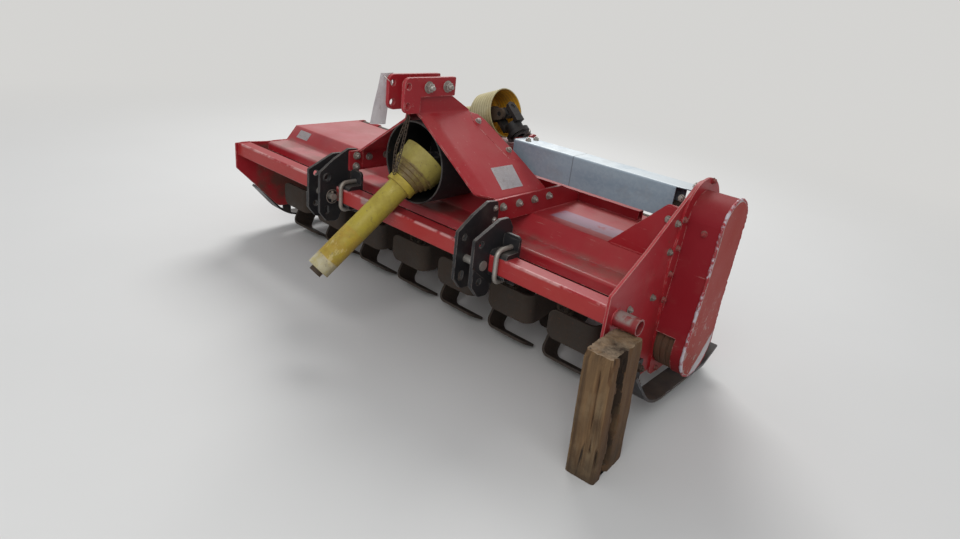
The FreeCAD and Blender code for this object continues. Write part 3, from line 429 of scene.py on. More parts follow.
# The two driveshaft halves, as start in mm and direction
SHAFT = ((0.0, 100.0, 150.0), (-0.1685, -0.7209, -0.6722))
SPARE = ((52.0, 395.0, 287.9), (-0.9613, 0.0, -0.2756))

MATERIALS = {
    "red_paint": painted("red_paint", *RED),
    "black_paint": painted("black_paint", *BLACK, chip=0.8, dust=0.2, gloss=0.42),
    "galvanised": galvanised("galvanised"),
    "yellow_plastic": plastic("yellow_plastic", *YELLOW, BROWN, 0.5),
    "cast_iron": painted("cast_iron", *IRON, chip=0.8, dust=0.45, gloss=0.5),
    "timber": wood("timber"),
    "label": label("label"),
    "bare_weld": bare_weld("bare_weld"),
}
RUBBED = (0.3, 0.27, 0.25)
STEELS = [
    # name, colour, stain, amount of it, metallic, roughness, bump, edge colour, amount of it
    ("zinc", (0.44, 0.42, 0.39), (0.20, 0.15, 0.11), 0.6, 0.65, 0.4, 0.12, RUBBED, 0.4),
    ("old_zinc", (0.34, 0.31, 0.28), (0.12, 0.075, 0.05), 0.7, 0.55, 0.42, 0.2, RUBBED, 0.4),
    ("dirty_steel", (0.075, 0.06, 0.05), SOIL, 0.9, 0.35, 0.55, 0.45, RUBBED, 0.4),
    ("rust", (0.15, 0.065, 0.034), (0.055, 0.03, 0.02), 0.85, 0.1, 0.85, 0.5, (0.2, 0.1, 0.06), 0.4),
    ("yoke_black", (0.012, 0.012, 0.013), (0.04, 0.03, 0.025), 0.5, 0.2, 0.5, 0.4, (0.12, 0.11, 0.10), 0.5),
    # tines: dirty dark steel, darkened further as painted shade under the machine
    ("shaded_tine_steel", (0.042, 0.033, 0.027), (0.055, 0.04, 0.03), 0.85, 0.2, 0.6, 0.5, (0.2, 0.17, 0.14), 0.6),
    ("hinge_steel", (0.17, 0.15, 0.135), SOIL, 0.75, 0.4, 0.5, 0.3, RUBBED, 0.4),
    ("rod_steel", (0.24, 0.22, 0.20), (0.12, 0.07, 0.045), 0.7, 0.5, 0.45, 0.25, RUBBED, 0.4),
    ("hub_rust", (0.13, 0.058, 0.032), SOIL, 0.7, 0.1, 0.85, 0.4, (0.18, 0.09, 0.05), 0.5),
]
for row in STEELS:
    MATERIALS[row[0]] = steel(*row)

# Bands of dirt and wear on the plastics, as start and end in mm along the shaft, colour and amount
BELL_BANDS = [(44, 96, (0.11, 0.07, 0.028), 0.9)]
TUBE_BANDS = [(300, 425, (0.42, 0.24, 0.02), 0.55), (412, 460, (0.46, 0.42, 0.30), 0.85)]
SPARE_BANDS = [(92, 124, (0.20, 0.14, 0.07), 0.7)]
# painted shade on the fitted bell's inner faces
BELL_INSIDE_SHADE = (0.17, 0.12, 0.025)
# painted sunlight on the inner faces of the spare bell's mouth
SPARE_INSIDE_SUNLIT = (0.85, 0.43, 0.02)
# hood: wear and dirt, with painted reflections, a painted highlight and painted shade
HOOD_WEAR_AND_PAINTED_LIGHT = worn("painted_sky_sheen", "painted_step_highlight", "painted_deck_reflection", "deck_rear_dark", "painted_step_shade")
BAR_WEAR = worn("bar_front", "bar_edge", "bar_smudge")

NODE_MATERIALS = {
    "hood": painted("hood_paint", *RED, marks=HOOD_WEAR_AND_PAINTED_LIGHT),
    "toolbar": painted("toolbar_paint", *RED, marks=BAR_WEAR),
    "end_plate_left": painted("left_plate_paint", *RED, marks=worn("left_dirt")),
    "end_plate_right": painted("right_plate_paint", *RED, chip=1.3, marks=worn("right_wear", "arch_dirt")),
    "stub_pipe": painted("pipe_paint", *PIPE, dust=0.3, marks=worn("pipe_wear")),
    "skid_right": painted("right_skid_black", *SKID, dust=0.2),
    "skid_left": painted("left_skid_black", *SKID, dust=0.2),
    "chain_case_cover": painted("case_paint", *RED, chip=0.9, gloss=0.46, marks=case_marks, gleam=0.14),
    "input_guard": painted("guard_black", *DEEP_BLACK, chip=0.9, dust=0.06, gloss=0.5),
    "shield_bell": plastic("shaded_bell_plastic", *SHADED_BELL, BROWN, 0.45, *SHAFT, BELL_BANDS, BELL_INSIDE_SHADE),
    "shield_collar": plastic("collar_plastic", *COLLAR, BROWN, 0.5),
    "shield_tube": plastic("tube_plastic", *YELLOW, BROWN, 0.4, *SHAFT, TUBE_BANDS),
    "spare_shield": plastic("spare_plastic", *PALE_YELLOW, BROWN, 0.3, *SPARE, SPARE_BANDS, SPARE_INSIDE_SUNLIT,
                            ribs=2.5),
    "spare_yoke": MATERIALS["yoke_black"],
    "tines": MATERIALS["shaded_tine_steel"],
    "tailboard_hinge_rod": MATERIALS["hinge_steel"],
    "lift_rod": MATERIALS["rod_steel"],
    "case_hub": MATERIALS["hub_rust"],
}
for row in frame["record"]["subparts"]:
    mesh = NODES[row["node"]].data
    mesh.materials.clear()
    mesh.materials.append(NODE_MATERIALS.get(row["node"], MATERIALS[row["material_slot"]]))


# Pieces are built as bmesh forms
def piece(name, bm, body, slot, sharp=35.0):
    for face in bm.faces:
        face.smooth = True
    mesh = bpy.data.meshes.new(name)
    bm.to_mesh(mesh)
    bm.free()
    mesh.set_sharp_from_angle(angle=math.radians(sharp))
    mesh.materials.append(MATERIALS[slot])
    made = bpy.data.objects.new(name, mesh)
    scene.collection.objects.link(made)
    if body:
        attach(made, body)
    return made


def ring_faces(bm, a, b):
    for k in range(len(a)):
        after = (k + 1) % len(a)
        bm.faces.new((a[k], a[after], b[after], b[k]))


def circle(bm, centre, side, other, r, sides):
    """Ring of points; r is in metres."""
    angles = [2 * math.pi * k / sides for k in range(sides)]
    return [bm.verts.new(centre + (side * math.cos(a) + other * math.sin(a)) * r) for a in angles]


def turned(bm, profile, start, axis, sides=16):
    """Turned form from (distance along axis, radius) in mm; six sides give a hexagon."""
    axis = Vector(axis).normalized()
    side = axis.orthogonal().normalized()
    other = axis.cross(side)
    rings = [circle(bm, start + axis * (s / 1000), side, other, r / 1000, sides) for s, r in profile]
    for a, b in zip(rings, rings[1:]):
        ring_faces(bm, a, b)
    bm.faces.new(rings[0][::-1])
    bm.faces.new(rings[-1])


def tube(bm, points, radii, sides=8, closed=False):
    """Round wire through points in metres; radii in mm, one for all or one for each point."""
    count = len(points)
    radii = radii if isinstance(radii, list) else [radii] * count
    rings = []
    side = None
    for i, p in enumerate(points):
        before = points[i - 1] if i or closed else p
        after = points[(i + 1) % count] if i + 1 < count or closed else p
        axis = (after - before).normalized()
        side = side or axis.orthogonal()
        side = (side - axis * side.dot(axis)).normalized()
        rings.append(circle(bm, p, side, axis.cross(side), radii[i] / 1000, sides))
    for a, b in zip(rings, rings[1:]):
        ring_faces(bm, a, b)
    if closed:
        ring_faces(bm, rings[-1], rings[0])
    else:
        bm.faces.new(rings[0][::-1])
        bm.faces.new(rings[-1])


def smooth_line(points, steps, closed=False):
    """Points along a smooth line through the given points."""
    count = len(points)
    result = []
    for i in range(count if closed else count - 1):
        p0 = points[i - 1] if closed or i else points[0]
        p1 = points[i]
        p2 = points[(i + 1) % count]
        p3 = points[(i + 2) % count] if closed or i + 2 < count else p2
        for k in range(steps):
            t = k / steps
            result.append(0.5 * (2 * p1 + (p2 - p0) * t + (2 * p0 - 5 * p1 + 4 * p2 - p3) * t * t
                                 + (3 * p1 - p0 - 3 * p2 + p3) * t ** 3))
    return result if closed else result + [points[-1]]


def round_line(centre, side, other, r, steps):
    """Points round a circle; r in mm."""
    angles = [2 * math.pi * k / steps for k in range(steps)]
    return [centre + (side * math.cos(a) + other * math.sin(a)) * (r / 1000) for a in angles]


def hex_bolt(bm, seat, axis, size, stud=0.0):
    """Washer and hexagon of a thread size in mm on a seat; stud is how far the thread stands out."""
    base = size * 0.16
    top = base + size * 0.72
    corner = size * 0.92
    disc = size * 1.12
    turned(bm, [(-0.6, disc), (base * 0.7, disc), (base, disc - 0.5)], seat, axis, 24)
    turned(bm, [(base - 0.2, corner), (top - size * 0.1, corner), (top, corner * 0.84)], seat, axis, 6)
    if stud:
        pitch = size * 0.13
        profile = [(top - 0.2, size * 0.5)]
        for k in range(int(stud / pitch)):
            profile += [(top + k * pitch, size * 0.5), (top + (k + 0.5) * pitch, size * 0.44)]
        profile.append((top + stud, size * 0.4))
        turned(bm, profile, seat, axis, 14)


TREES = {}


def seat_on(node, point, axis):
    """Where a line along axis through a point in the source's millimetres meets a node from outside."""
    if node not in TREES:
        mesh = NODES[node].data
        TREES[node] = BVHTree.FromPolygons([v.co for v in mesh.vertices], [f.vertices for f in mesh.polygons])
    way = Vector(axis).normalized()
    hit, normal, _, _ = TREES[node].ray_cast(at(*point) + way * 0.03, -way, 0.06)
    if hit is None:
        print("no seat", node, point)
        return at(*point), way
    return hit, normal


POS_X, NEG_X = (1, 0, 0), (-1, 0, 0)
POS_Y, NEG_Y = (0, 1, 0), (0, -1, 0)
POS_Z = (0, 0, 1)
FOOT_Y = [119 + 72 * k for k in range(4)]
MAST_BOLTS = [
    # node, place, axis, thread, stud
    ("top_plate_right", (39, 56.2, 376.4), POS_X, 15, 9),
    ("top_plate_right", (39, 129.6, 376.8), POS_X, 15, 9),
    ("leg_strips", (67.7, 247, 275.5), LEG_SLOPE, 9, 3),
    ("leg_strips", (168, 286, 205), LEG_SLOPE, 9, 3),
    ("deck_bracket_right", (305, 77.6, 98), POS_X, 12, 5),
    ("deck_bracket_right", (305, 77, 64), POS_X, 12, 5),
    ("deck_bracket_right", (297, 72, 98), NEG_X, 12, 5),
    ("deck_bracket_right", (297, 70, 62), NEG_X, 12, 5),
]
MAST_BOLTS += [("deck_bracket_right", (305, y, 92), POS_X, 11, 5) for y in FOOT_Y]
MAST_BOLTS += [("mast_leg_right", (291, y, 92), NEG_X, 11, 0) for y in FOOT_Y[:3]]
MAST_BOLTS.append(("deck_bracket_right", (297, FOOT_Y[3], 92), NEG_X, 11, 0))
PLATE_BOLTS = [
    ("end_plate_right", (758, 252.9, 161.8), POS_X, 9, 3),
    ("end_plate_right", (758, 246.4, 86), POS_X, 9, 3),
    ("end_plate_right", (758, 209.4, -32.7), POS_X, 9, 3),
    ("end_plate_right", (758, 92.6, -31.7), POS_X, 9, 3),
    ("gusset", (730, 262, 162), NEG_Y, 9, 3),
    ("end_plate_left", (-946, 92.6, -31.7), NEG_X, 9, 3),
    ("end_plate_left", (-946, 209.4, -32.7), NEG_X, 9, 3),
    ("end_plate_left", (-946, 560, -20), NEG_X, 9, 3),
    ("end_plate_right", (758, 560, -20), POS_X, 9, 3),
]
FLANGE_PLACES = [(280.4, 167.9), (277.9, 91.5), (270.8, 20.4), (268.0, -52.8), (403, 252.9), (474, 165),
                 (470, 94), (459, 30), (450, -60), (330, -289), (392, -289)]
CASE_BOLTS = [("chain_case_back", (764, y, z), POS_X, 8, 2) for y, z in FLANGE_PLACES]
CASE_BOLTS.append(("chain_case_cover", (814, 290, 142), NEG_Y, 8, 5))
GUARD_BOLTS = [
    ("side_shaft_guard", (188, 352, 232), POS_Z, 9, 3),
    ("side_shaft_guard", (190, 388, 232), POS_Z, 9, 3),
    ("side_shaft_guard", (722, 330, 205), NEG_Y, 9, 3),
    ("side_shaft_guard", (736, 373, 232), POS_Z, 10, 4),
    ("side_shaft_guard", (722, 405, 205), POS_Y, 9, 3),
]
SKID_PLACES = [(213, -243), (213, -290), (500, -262), (500, -306)]
SKID_BOLTS = [("skid_right", (766, y, z), POS_X, 12, 5) for y, z in SKID_PLACES]
SKID_BOLTS += [("skid_left", (-954, y, z), NEG_X, 12, 5) for y, z in SKID_PLACES]


def bolt_circle(count, first, r):
    """Offsets round a circle; first is an angle in degrees."""
    angles = [math.radians(360 / count * k + first) for k in range(count)]
    return [(r * math.cos(a), r * math.sin(a)) for a in angles]


GEARBOX_BOLTS = [("gearbox", (x, y, 195), POS_Z, 9, 0) for x in (-60, 60) for y in (262, 428)]
GEARBOX_BOLTS += [("gearbox", (a, 462, 150 + b), POS_Y, 7, 0) for a, b in bolt_circle(6, 30, 36)]
GEARBOX_BOLTS += [("gearbox", (-92, CASE_TOP[1] + a, CASE_TOP[2] + b), NEG_X, 7, 0)
                  for a, b in bolt_circle(4, 45, 27)]
HUB_BOLTS = [("rotor_hub_left", (-968, ROTOR[0] + a, ROTOR[1] + b), NEG_X, 10, 4)
             for a, b in bolt_circle(6, 0, 49)]
BOLT_SETS = [
    # piece, finish, rows, also mirrored to the left
    ("mast_bolts", "zinc", MAST_BOLTS, True),
    ("end_plate_bolts", "old_zinc", PLATE_BOLTS, False),
    ("chain_case_bolts", "cast_iron", CASE_BOLTS, False),
    ("side_guard_bolts", "zinc", GUARD_BOLTS, False),
    ("skid_bolts", "dirty_steel", SKID_BOLTS, False),
    ("gearbox_bolts", "dirty_steel", GEARBOX_BOLTS, False),
    ("left_hub_bolts", "rust", HUB_BOLTS, False),
]
for name, slot, rows, mirrored in BOLT_SETS:
    bm = bmesh.new()
    for node, place, axis, size, stud in rows:
        hex_bolt(bm, *seat_on(node, place, axis), size, stud)
        if mirrored:
            place = (-place[0], *place[1:])
            axis = (-axis[0], *axis[1:])
            hex_bolt(bm, *seat_on(node.replace("right", "left"), place, axis), size, stud)
    piece(name, bm, "frame", slot)

# Nuts on the U-bolts behind the saddles
U_BOLT_X = (407, 271)
U_BOLT_Z = (21.3, -71.3)
SADDLE_BACK_Y = 58
bm = bmesh.new()
for x in U_BOLT_X:
    for side in (-1, 1):
        for z in U_BOLT_Z:
            hex_bolt(bm, at(side * x, SADDLE_BACK_Y, z), POS_Y, 14)
piece("u_bolt_nuts", bm, "frame", "zinc")

# Tine bolts: heads on the shanks, nuts on the flange's other face. End flanges have inner tines only.
FLANGES = 8
FLANGE_FIRST_X = 661.0
FLANGE_PITCH = 225.0
TINES_EACH = 6
TINE_FIRST = -88.5
TINE_BOLT_R = 58
TINE_BOLT_OFFSETS = (-15, 15)
HEAD_X = 13
NUT_X = 5
bm = bmesh.new()
for i in range(FLANGES):
    x = FLANGE_FIRST_X - i * FLANGE_PITCH
    for k in range(TINES_EACH):
        bend = -1 if k % 2 == 0 else 1
        if (i == 0 and bend > 0) or (i == FLANGES - 1 and bend < 0):
            continue
        angle = math.radians(TINE_FIRST + 360 / TINES_EACH * k)
        for offset in TINE_BOLT_OFFSETS:
            y = ROTOR[0] + TINE_BOLT_R * math.sin(angle) + offset * math.cos(angle)
            z = ROTOR[1] - TINE_BOLT_R * math.cos(angle) + offset * math.sin(angle)
            hex_bolt(bm, at(x + bend * HEAD_X, y, z), (bend, 0, 0), 11)
            hex_bolt(bm, at(x - bend * NUT_X, y, z), (-bend, 0, 0), 11, 5)
piece("tine_bolts", bm, "rotor", "dirty_steel")

# Linch pins through the hitch pins' inner ends, with leaning rings, and boss rings at the upper holes
LINCH_PIN = [(-19, 2.2), (-17, 3.0), (12, 3.0), (13, 5.0), (18, 5.0), (19, 4.0)]
LINCH_PLACE = (293, -25, -27)
LINCH_RING_R = 22
LINCH_LEAN = 0.006
BOSS_PLACE = (304.6, -38, 35)
BOSS_R = 13
bm = bmesh.new()
for side in (-1, 1):
    centre = at(side * LINCH_PLACE[0], *LINCH_PLACE[1:])
    turned(bm, LINCH_PIN, centre, POS_Z, 14)
    middle = centre + Vector((side * LINCH_LEAN / 2, 0, 0))
    loop = round_line(middle, Vector(POS_Y), Vector(POS_Z), LINCH_RING_R, 36)
    for p in loop:
        p.x -= side * LINCH_LEAN * (1 - (p.z - centre.z) / (LINCH_RING_R / 1000)) / 2
    tube(bm, loop, 1.4, 8, True)
piece("linch_pins", bm, "frame", "old_zinc")
bm = bmesh.new()
for side in (-1, 1):
    loop = round_line(at(side * BOSS_PLACE[0], *BOSS_PLACE[1:]), Vector(POS_Y), Vector(POS_Z), BOSS_R, 32)
    tube(bm, loop, 3.2, 8, True)
piece("hitch_hole_rings", bm, "frame", "black_paint")


# Welds: lumpy beads along joints
def weld(bm, points, r, closed=False):
    radii = []
    for p in points:
        radii.append(r * (0.92 + 0.35 * noise.noise(p * 160) + 0.15 * noise.noise(p * 420)))
    tube(bm, points, radii, 7, closed)


def weld_line(bm, a, b, r):
    a, b = at(*a), at(*b)
    steps = max(2, int((b - a).length / 0.004))
    weld(bm, [a.lerp(b, k / steps) for k in range(steps + 1)], r)


WELDS = [
    # from, to, bead radius
    ((750, 0, -4), (750, 0, -46), 3.4),
    ((750, 4, 0), (750, 46, 0), 3.4),
    ((-938, 0, -4), (-938, 0, -46), 3.4),
    ((-938, 4, 0), (-938, 46, 0), 3.4),
    ((750, 268, 48), (750, 575, 48), 3.2),
    ((750, 130, -5), (750, 212, -5), 3.0),
    ((-938, 130, -5), (-938, 212, -5), 3.0),
    ((582, 262, 48), (742, 262, 48), 3.2),
    ((750, 262, 54), (750, 262, 192), 3.0),
    ((-520, 508, 48), (-310, 508, 48), 2.8),
    ((-292, 508, 48), (292, 508, 48), 2.8),
    ((310, 508, 48), (520, 508, 48), 2.8),
    ((-520, 538, 48), (520, 538, 48), 2.8),
]
for side in (-1, 1):
    WELDS += [
        ((side * 305, 268, 48), (side * 305, 500, 48), 3.2),
        ((side * 297, 330, 48), (side * 297, 500, 48), 3.2),
        ((side * 23, 540, 48), (side * 23, 576, 48), 3.0),
        ((side * 31, 540, 48), (side * 31, 576, 48), 3.0),
    ]
PIPE_ROOT = (758, 34, -35)
bm = bmesh.new()
for a, b, r in WELDS:
    weld_line(bm, a, b, r)
weld(bm, round_line(at(*PIPE_ROOT), Vector(POS_Y), Vector(POS_Z), 22, 40), 3.2, True)
piece("weld_beads", bm, "frame", "red_paint", 60)

# Weld bead between the chain case's wall and its outer plate: two round ends and drawn-in sides
RIM_X = 854.0
RIM_TOP = (Vector(CASE_TOP), 73.0)
RIM_FOOT = (Vector(CASE_FOOT), 89.0)
RIM_WAIST = 6.0
RIM_STEP = 4.0


def outwards(angle):
    return Vector((0, math.cos(angle), math.sin(angle)))


between = RIM_TOP[0] - RIM_FOOT[0]
lean = math.atan2(between.z, between.y)
spread = math.acos((RIM_FOOT[1] - RIM_TOP[1]) / between.length)
RIM_ENDS = [
    # round end, the next one, from angle, to angle
    (RIM_TOP, RIM_FOOT, lean - spread, lean + spread),
    (RIM_FOOT, RIM_TOP, lean + spread, lean - spread + 2 * math.pi),
]
path = []
for (centre, r), (next_centre, next_r), a0, a1 in RIM_ENDS:
    count = int(r * (a1 - a0) / RIM_STEP)
    path += [centre + outwards(a0 + (a1 - a0) * k / count) * r for k in range(count + 1)]
    start = path[-1]
    stop = next_centre + outwards(a1) * next_r
    count = int((stop - start).length / RIM_STEP)
    for k in range(1, count):
        t = k / count
        path.append(start.lerp(stop, t) - outwards(a1) * (RIM_WAIST * 4 * t * (1 - t)))
bm = bmesh.new()
weld(bm, [at(RIM_X, p.y, p.z) for p in path], 4.6, True)
piece("case_rim_weld", bm, "frame", "bare_weld", 60)

# Rolled edge of the round guard
GUARD_MOUTH = (0, 53, 150)
GUARD_MOUTH_R = 121.5
bm = bmesh.new()
tube(bm, round_line(at(*GUARD_MOUTH), Vector(POS_X), Vector(POS_Z), GUARD_MOUTH_R, 64), 2.6, 8, True)
piece("input_guard_edge", bm, "frame", "black_paint")


# Safety chain: two strands of small links from the mast top to the driveshaft's collar
def link(bm, centre, along, across, length, width, wire):
    out = along.cross(across).normalized()
    half = (length - width) / 2
    loop = []
    for k in range(16):
        angle = 2 * math.pi * k / 16
        shift = half if math.cos(angle) >= 0 else -half
        loop.append(centre + along * ((shift + width / 2 * math.cos(angle)) / 1000)
                    + out.cross(along) * (width / 2 * math.sin(angle) / 1000))
    tube(bm, loop, wire, 6, True)


STRANDS = [
    [(33, -6, 304), (24, -10, 243), (9, -12, 178), (-12, -10, 120)],
    [(30, -3, 304), (2, -8, 236), (-14, -8, 190), (-22, -5, 122)],
]
LINK_STEP = 0.013
bm = bmesh.new()
for strand in STRANDS:
    line = smooth_line([at(*p) for p in strand], 40)
    run = 0.0
    flip = 0
    for a, b in zip(line, line[1:]):
        run += (b - a).length
        if run >= LINK_STEP:
            run -= LINK_STEP
            along = (b - a).normalized()
            side = along.orthogonal().normalized()
            twist = math.radians(45 + 90 * (flip % 2) + 5 * math.sin(flip))
            side.rotate(Matrix.Rotation(twist, 3, along))
            link(bm, b, along, side, 18.0, 9.0, 1.35)
            flip += 1
chain = piece("safety_chain", bm, None, "dirty_steel", 60)
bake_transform(chain)


# Blank stickers and the blank card
def patch(name, corners, body, slot, thick, bulge=0.0):
    """Thin sheet between four corners in the source's millimetres; bulge bends its middle out."""
    a, b, c, d = [at(*p) for p in corners]
    normal = (b - a).cross(d - a).normalized()
    bm = bmesh.new()
    count = 12
    grid = []
    for j in range(count + 1):
        v = j / count
        row = []
        for i in range(count + 1):
            u = i / count
            p = a.lerp(b, u).lerp(d.lerp(c, u), v)
            lift = bulge * math.sin(math.pi * v) + bulge * 0.3 * math.sin(2.3 * math.pi * u)
            row.append(bm.verts.new(p + normal * (lift / 1000)))
        grid.append(row)
    for j in range(count):
        for i in range(count):
            bm.faces.new((grid[j][i], grid[j][i + 1], grid[j + 1][i + 1], grid[j + 1][i]))
    bmesh.ops.solidify(bm, geom=bm.faces[:], thickness=thick / 1000)
    return piece(name, bm, body, slot)


def on_leg(x, y, out):
    """A point on the right leg's slanting face."""
    z = 302 - (x - 27) * 187 / 270
    normal = Vector(LEG_SLOPE).normalized()
    return (x + normal.x * out, y, z + normal.z * out)


LEG_STICKER = [(210.8, 159.3), (275.9, 143.4), (277.6, 237.1), (211.8, 255.8)]
patch("leg_sticker", [on_leg(x, y, 0.5) for x, y in LEG_STICKER], "frame", "label", 0.9)
HOOD_STICKER = [(-898, 231), (-824, 231), (-824, 254), (-898, 254)]
HOOD_FOLD = (216, -5)
HOOD_RISE = 53 / 46
corners = [(x, y - 0.5, HOOD_FOLD[1] + (y - HOOD_FOLD[0]) * HOOD_RISE + 0.5) for x, y in HOOD_STICKER]
patch("hood_sticker", corners, "frame", "label", 0.9)
CARD = [(-57, -40, 402), (-60, -70, 262), (-63, -10, 257), (-60, 8, 402)]
patch("hanging_card", CARD, "frame", "label", 0.8, 3.0)


# Folded sheets, drawn flat as an outline and bent along a path
def bent_path(corners):
    """Points (run, u, v, normal u, normal v) along a path of corners (u, v, radius) with rounded bends."""
    points = []
    for i, (u, v, r) in enumerate(corners):
        here = Vector((u, v))
        if not r:
            points.append(here)
            continue
        to_prev = (Vector(corners[i - 1][:2]) - here).normalized()
        to_next = (Vector(corners[i + 1][:2]) - here).normalized()
        half = to_prev.angle(to_next) / 2
        run = r / math.tan(half)
        middle = (to_prev + to_next).normalized()
        centre = here + middle * (r / math.sin(half))
        start = here + to_prev * run - centre
        stop = here + to_next * run - centre
        for k in range(7):
            points.append(centre + start.lerp(stop, k / 6).normalized() * r)
    result = []
    run = 0.0
    for i, p in enumerate(points):
        before = (p - points[i - 1]).normalized() if i else None
        after = (points[i + 1] - p).normalized() if i + 1 < len(points) else None
        way = ((before or after) + (after or before)).normalized()
        run += (p - points[i - 1]).length if i else 0.0
        result.append((run, p.x, p.y, -way.y, way.x))
    return result


SHEET_PARTS = 24


def folded(name, outline, corners, place, thick, cuts, dip, slot):
    """Sheet with an outline of (run, t), bent along a path. place(u, v, t) puts it in the row frame,
    dip(run, t) pushes it in, and cuts are the values of t where it is divided."""
    path = bent_path(corners)
    bm = bmesh.new()
    bm.faces.new([bm.verts.new((s, t, 0)) for s, t in outline])
    planes = [((row[0], 0, 0), (1, 0, 0)) for row in path[1:-1]]
    planes += [((0, t, 0), (0, 1, 0)) for t in cuts]
    last = path[-1][0]
    planes += [((last * k / SHEET_PARTS, 0, 0), (1, 0, 0)) for k in range(1, SHEET_PARTS)]
    for point, normal in planes:
        geometry = bm.verts[:] + bm.edges[:] + bm.faces[:]
        bmesh.ops.bisect_plane(bm, geom=geometry, dist=1e-5, plane_co=point, plane_no=normal)
    inner = {}
    for vert in list(bm.verts):
        s, t, _ = vert.co
        k = max(i for i in range(len(path) - 1) if path[i][0] <= s + 1e-4)
        a, b = path[k], path[k + 1]
        f = min(1.0, max(0.0, (s - a[0]) / (b[0] - a[0])))
        u, v, nu, nv = [a[j] + (b[j] - a[j]) * f for j in range(1, 5)]
        low = dip(s, t)
        vert.co = place(u - nu * low, v - nv * low, t)
        inner[vert] = place(u - nu * (low + thick), v - nv * (low + thick), t)
    outer_faces = bm.faces[:]
    rims = [e for e in bm.edges if len(e.link_faces) == 1]
    for vert in list(inner):
        inner[vert] = bm.verts.new(inner[vert])
    for face in outer_faces:
        bm.faces.new([inner[v] for v in reversed(face.verts)])
    for edge in rims:
        a, b = edge.verts
        bm.faces.new((a, b, inner[b], inner[a]))
    bmesh.ops.recalc_face_normals(bm, faces=bm.faces[:])
    return piece(name, bm, "frame", slot)


# Mast legs: t is y; the front strip is bent down along a soft crease
LEG_PATH = [(27, 395, 0), (27, 302, 8), (297, 115, 10), (297, 50, 0)]
LEG_TOP = [(0, 30), (0, 160), (45, 160)]
LEG_REAR = [(91, 242), (101, 242), (140, 225), (293, 262), (311, 313), (417, 326)]
LEG_FOOT = [(478, 326), (478, 94), (416, 94), (413, 84), (400, 68), (388, 55)]
LEG_FRONT = [(378, 50), (125, 50), (104, 42), (94, 31)]
LEG_FLAT = LEG_TOP + LEG_REAR + LEG_FOOT + LEG_FRONT
LEG_CUTS = [56, 64, 70, 73, 76, 79, 82, 85, 88, 120, 160, 200, 240, 280]
LEG_T = 6.0
CREASE_Y = 80
CREASE_SOFT = 8
FOLD_SLOPE = 0.42
FOLD_ENDS = ((96, 30), (416, 14))


def front_fold(s, t):
    """How far the leg's front strip is bent down, fading out at the strip's ends."""
    depth = FOLD_SLOPE * max(0.0, CREASE_Y - t)
    if abs(t - CREASE_Y) < CREASE_SOFT:
        depth = FOLD_SLOPE * (CREASE_Y + CREASE_SOFT - t) ** 2 / (4 * CREASE_SOFT)
    (top, top_run), (foot, foot_run) = FOLD_ENDS
    return depth * min(1.0, max(0.0, (s - top) / top_run)) * min(1.0, max(0.0, (foot - s) / foot_run))


def place_leg(u, v, t):
    """side is that of the leg being built, 1 or -1."""
    return at(side * u, t, v)


for side, name in ((1, "right"), (-1, "left")):
    leg = folded("leg_sheet_" + name, LEG_FLAT, LEG_PATH, place_leg, LEG_T, LEG_CUTS, front_fold, "red_paint")
    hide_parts("mast_leg_" + name)

# Side shaft's guard: t is x; the sheet steps down a little at its seam
GUARD_PATH = [(330, 142, 0), (330, 232, 6), (405, 232, 6), (405, 142, 0)]
GUARD_FLAT = [(0, 150), (0, 700), (88, 700), (93, 748), (153, 748), (158, 700), (246, 700), (246, 150)]
GUARD_CUTS = [250, 370, 380, 480, 600]
GUARD_T = 3.0
SEAM_ENDS = (375, 380)
SEAM_DEPTH = 0.8


def guard_seam(s, t):
    return SEAM_DEPTH if SEAM_ENDS[0] < t < SEAM_ENDS[1] else 0.0


def place_guard(u, v, t):
    return at(t, u, v)


guard = folded("side_guard_sheet", GUARD_FLAT, GUARD_PATH, place_guard, GUARD_T, GUARD_CUTS, guard_seam,
               "galvanised")
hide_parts("side_shaft_guard")

# Wire that ties the card to the left top plate
CARD_WIRE = [(-59, -19, 397), (-50, -19, 385), (-33, -19, 373), (-22, -26, 378), (-22, -36, 386),
             (-40, -38, 394), (-62, -28, 396)]
bm = bmesh.new()
tube(bm, smooth_line([at(*p) for p in CARD_WIRE], 8, True), 0.7, 6, True)
piece("card_wire", bm, "frame", "zinc")

# Timber post: split, chipped and worn, in place of the plain one
POST_HALF = (41.0, 78.0)
POST_TOP = (806.0, -42.0)
POST_LEAN = (8.0, 6.0)
POST_TURN = math.radians(4.0)
POST_TOP_Z = Vector(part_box("timber_post")[1]).z
POST_CUTS = (15, 27, 70)
EDGE = 9.0
SPLIT_DEPTH = 30
CHECK_DEPTH = 6


def near_edge(value, half):
    """0 on a face's middle, rising to 1 at its edge."""
    return max(0.0, abs(value) - half + EDGE) / EDGE


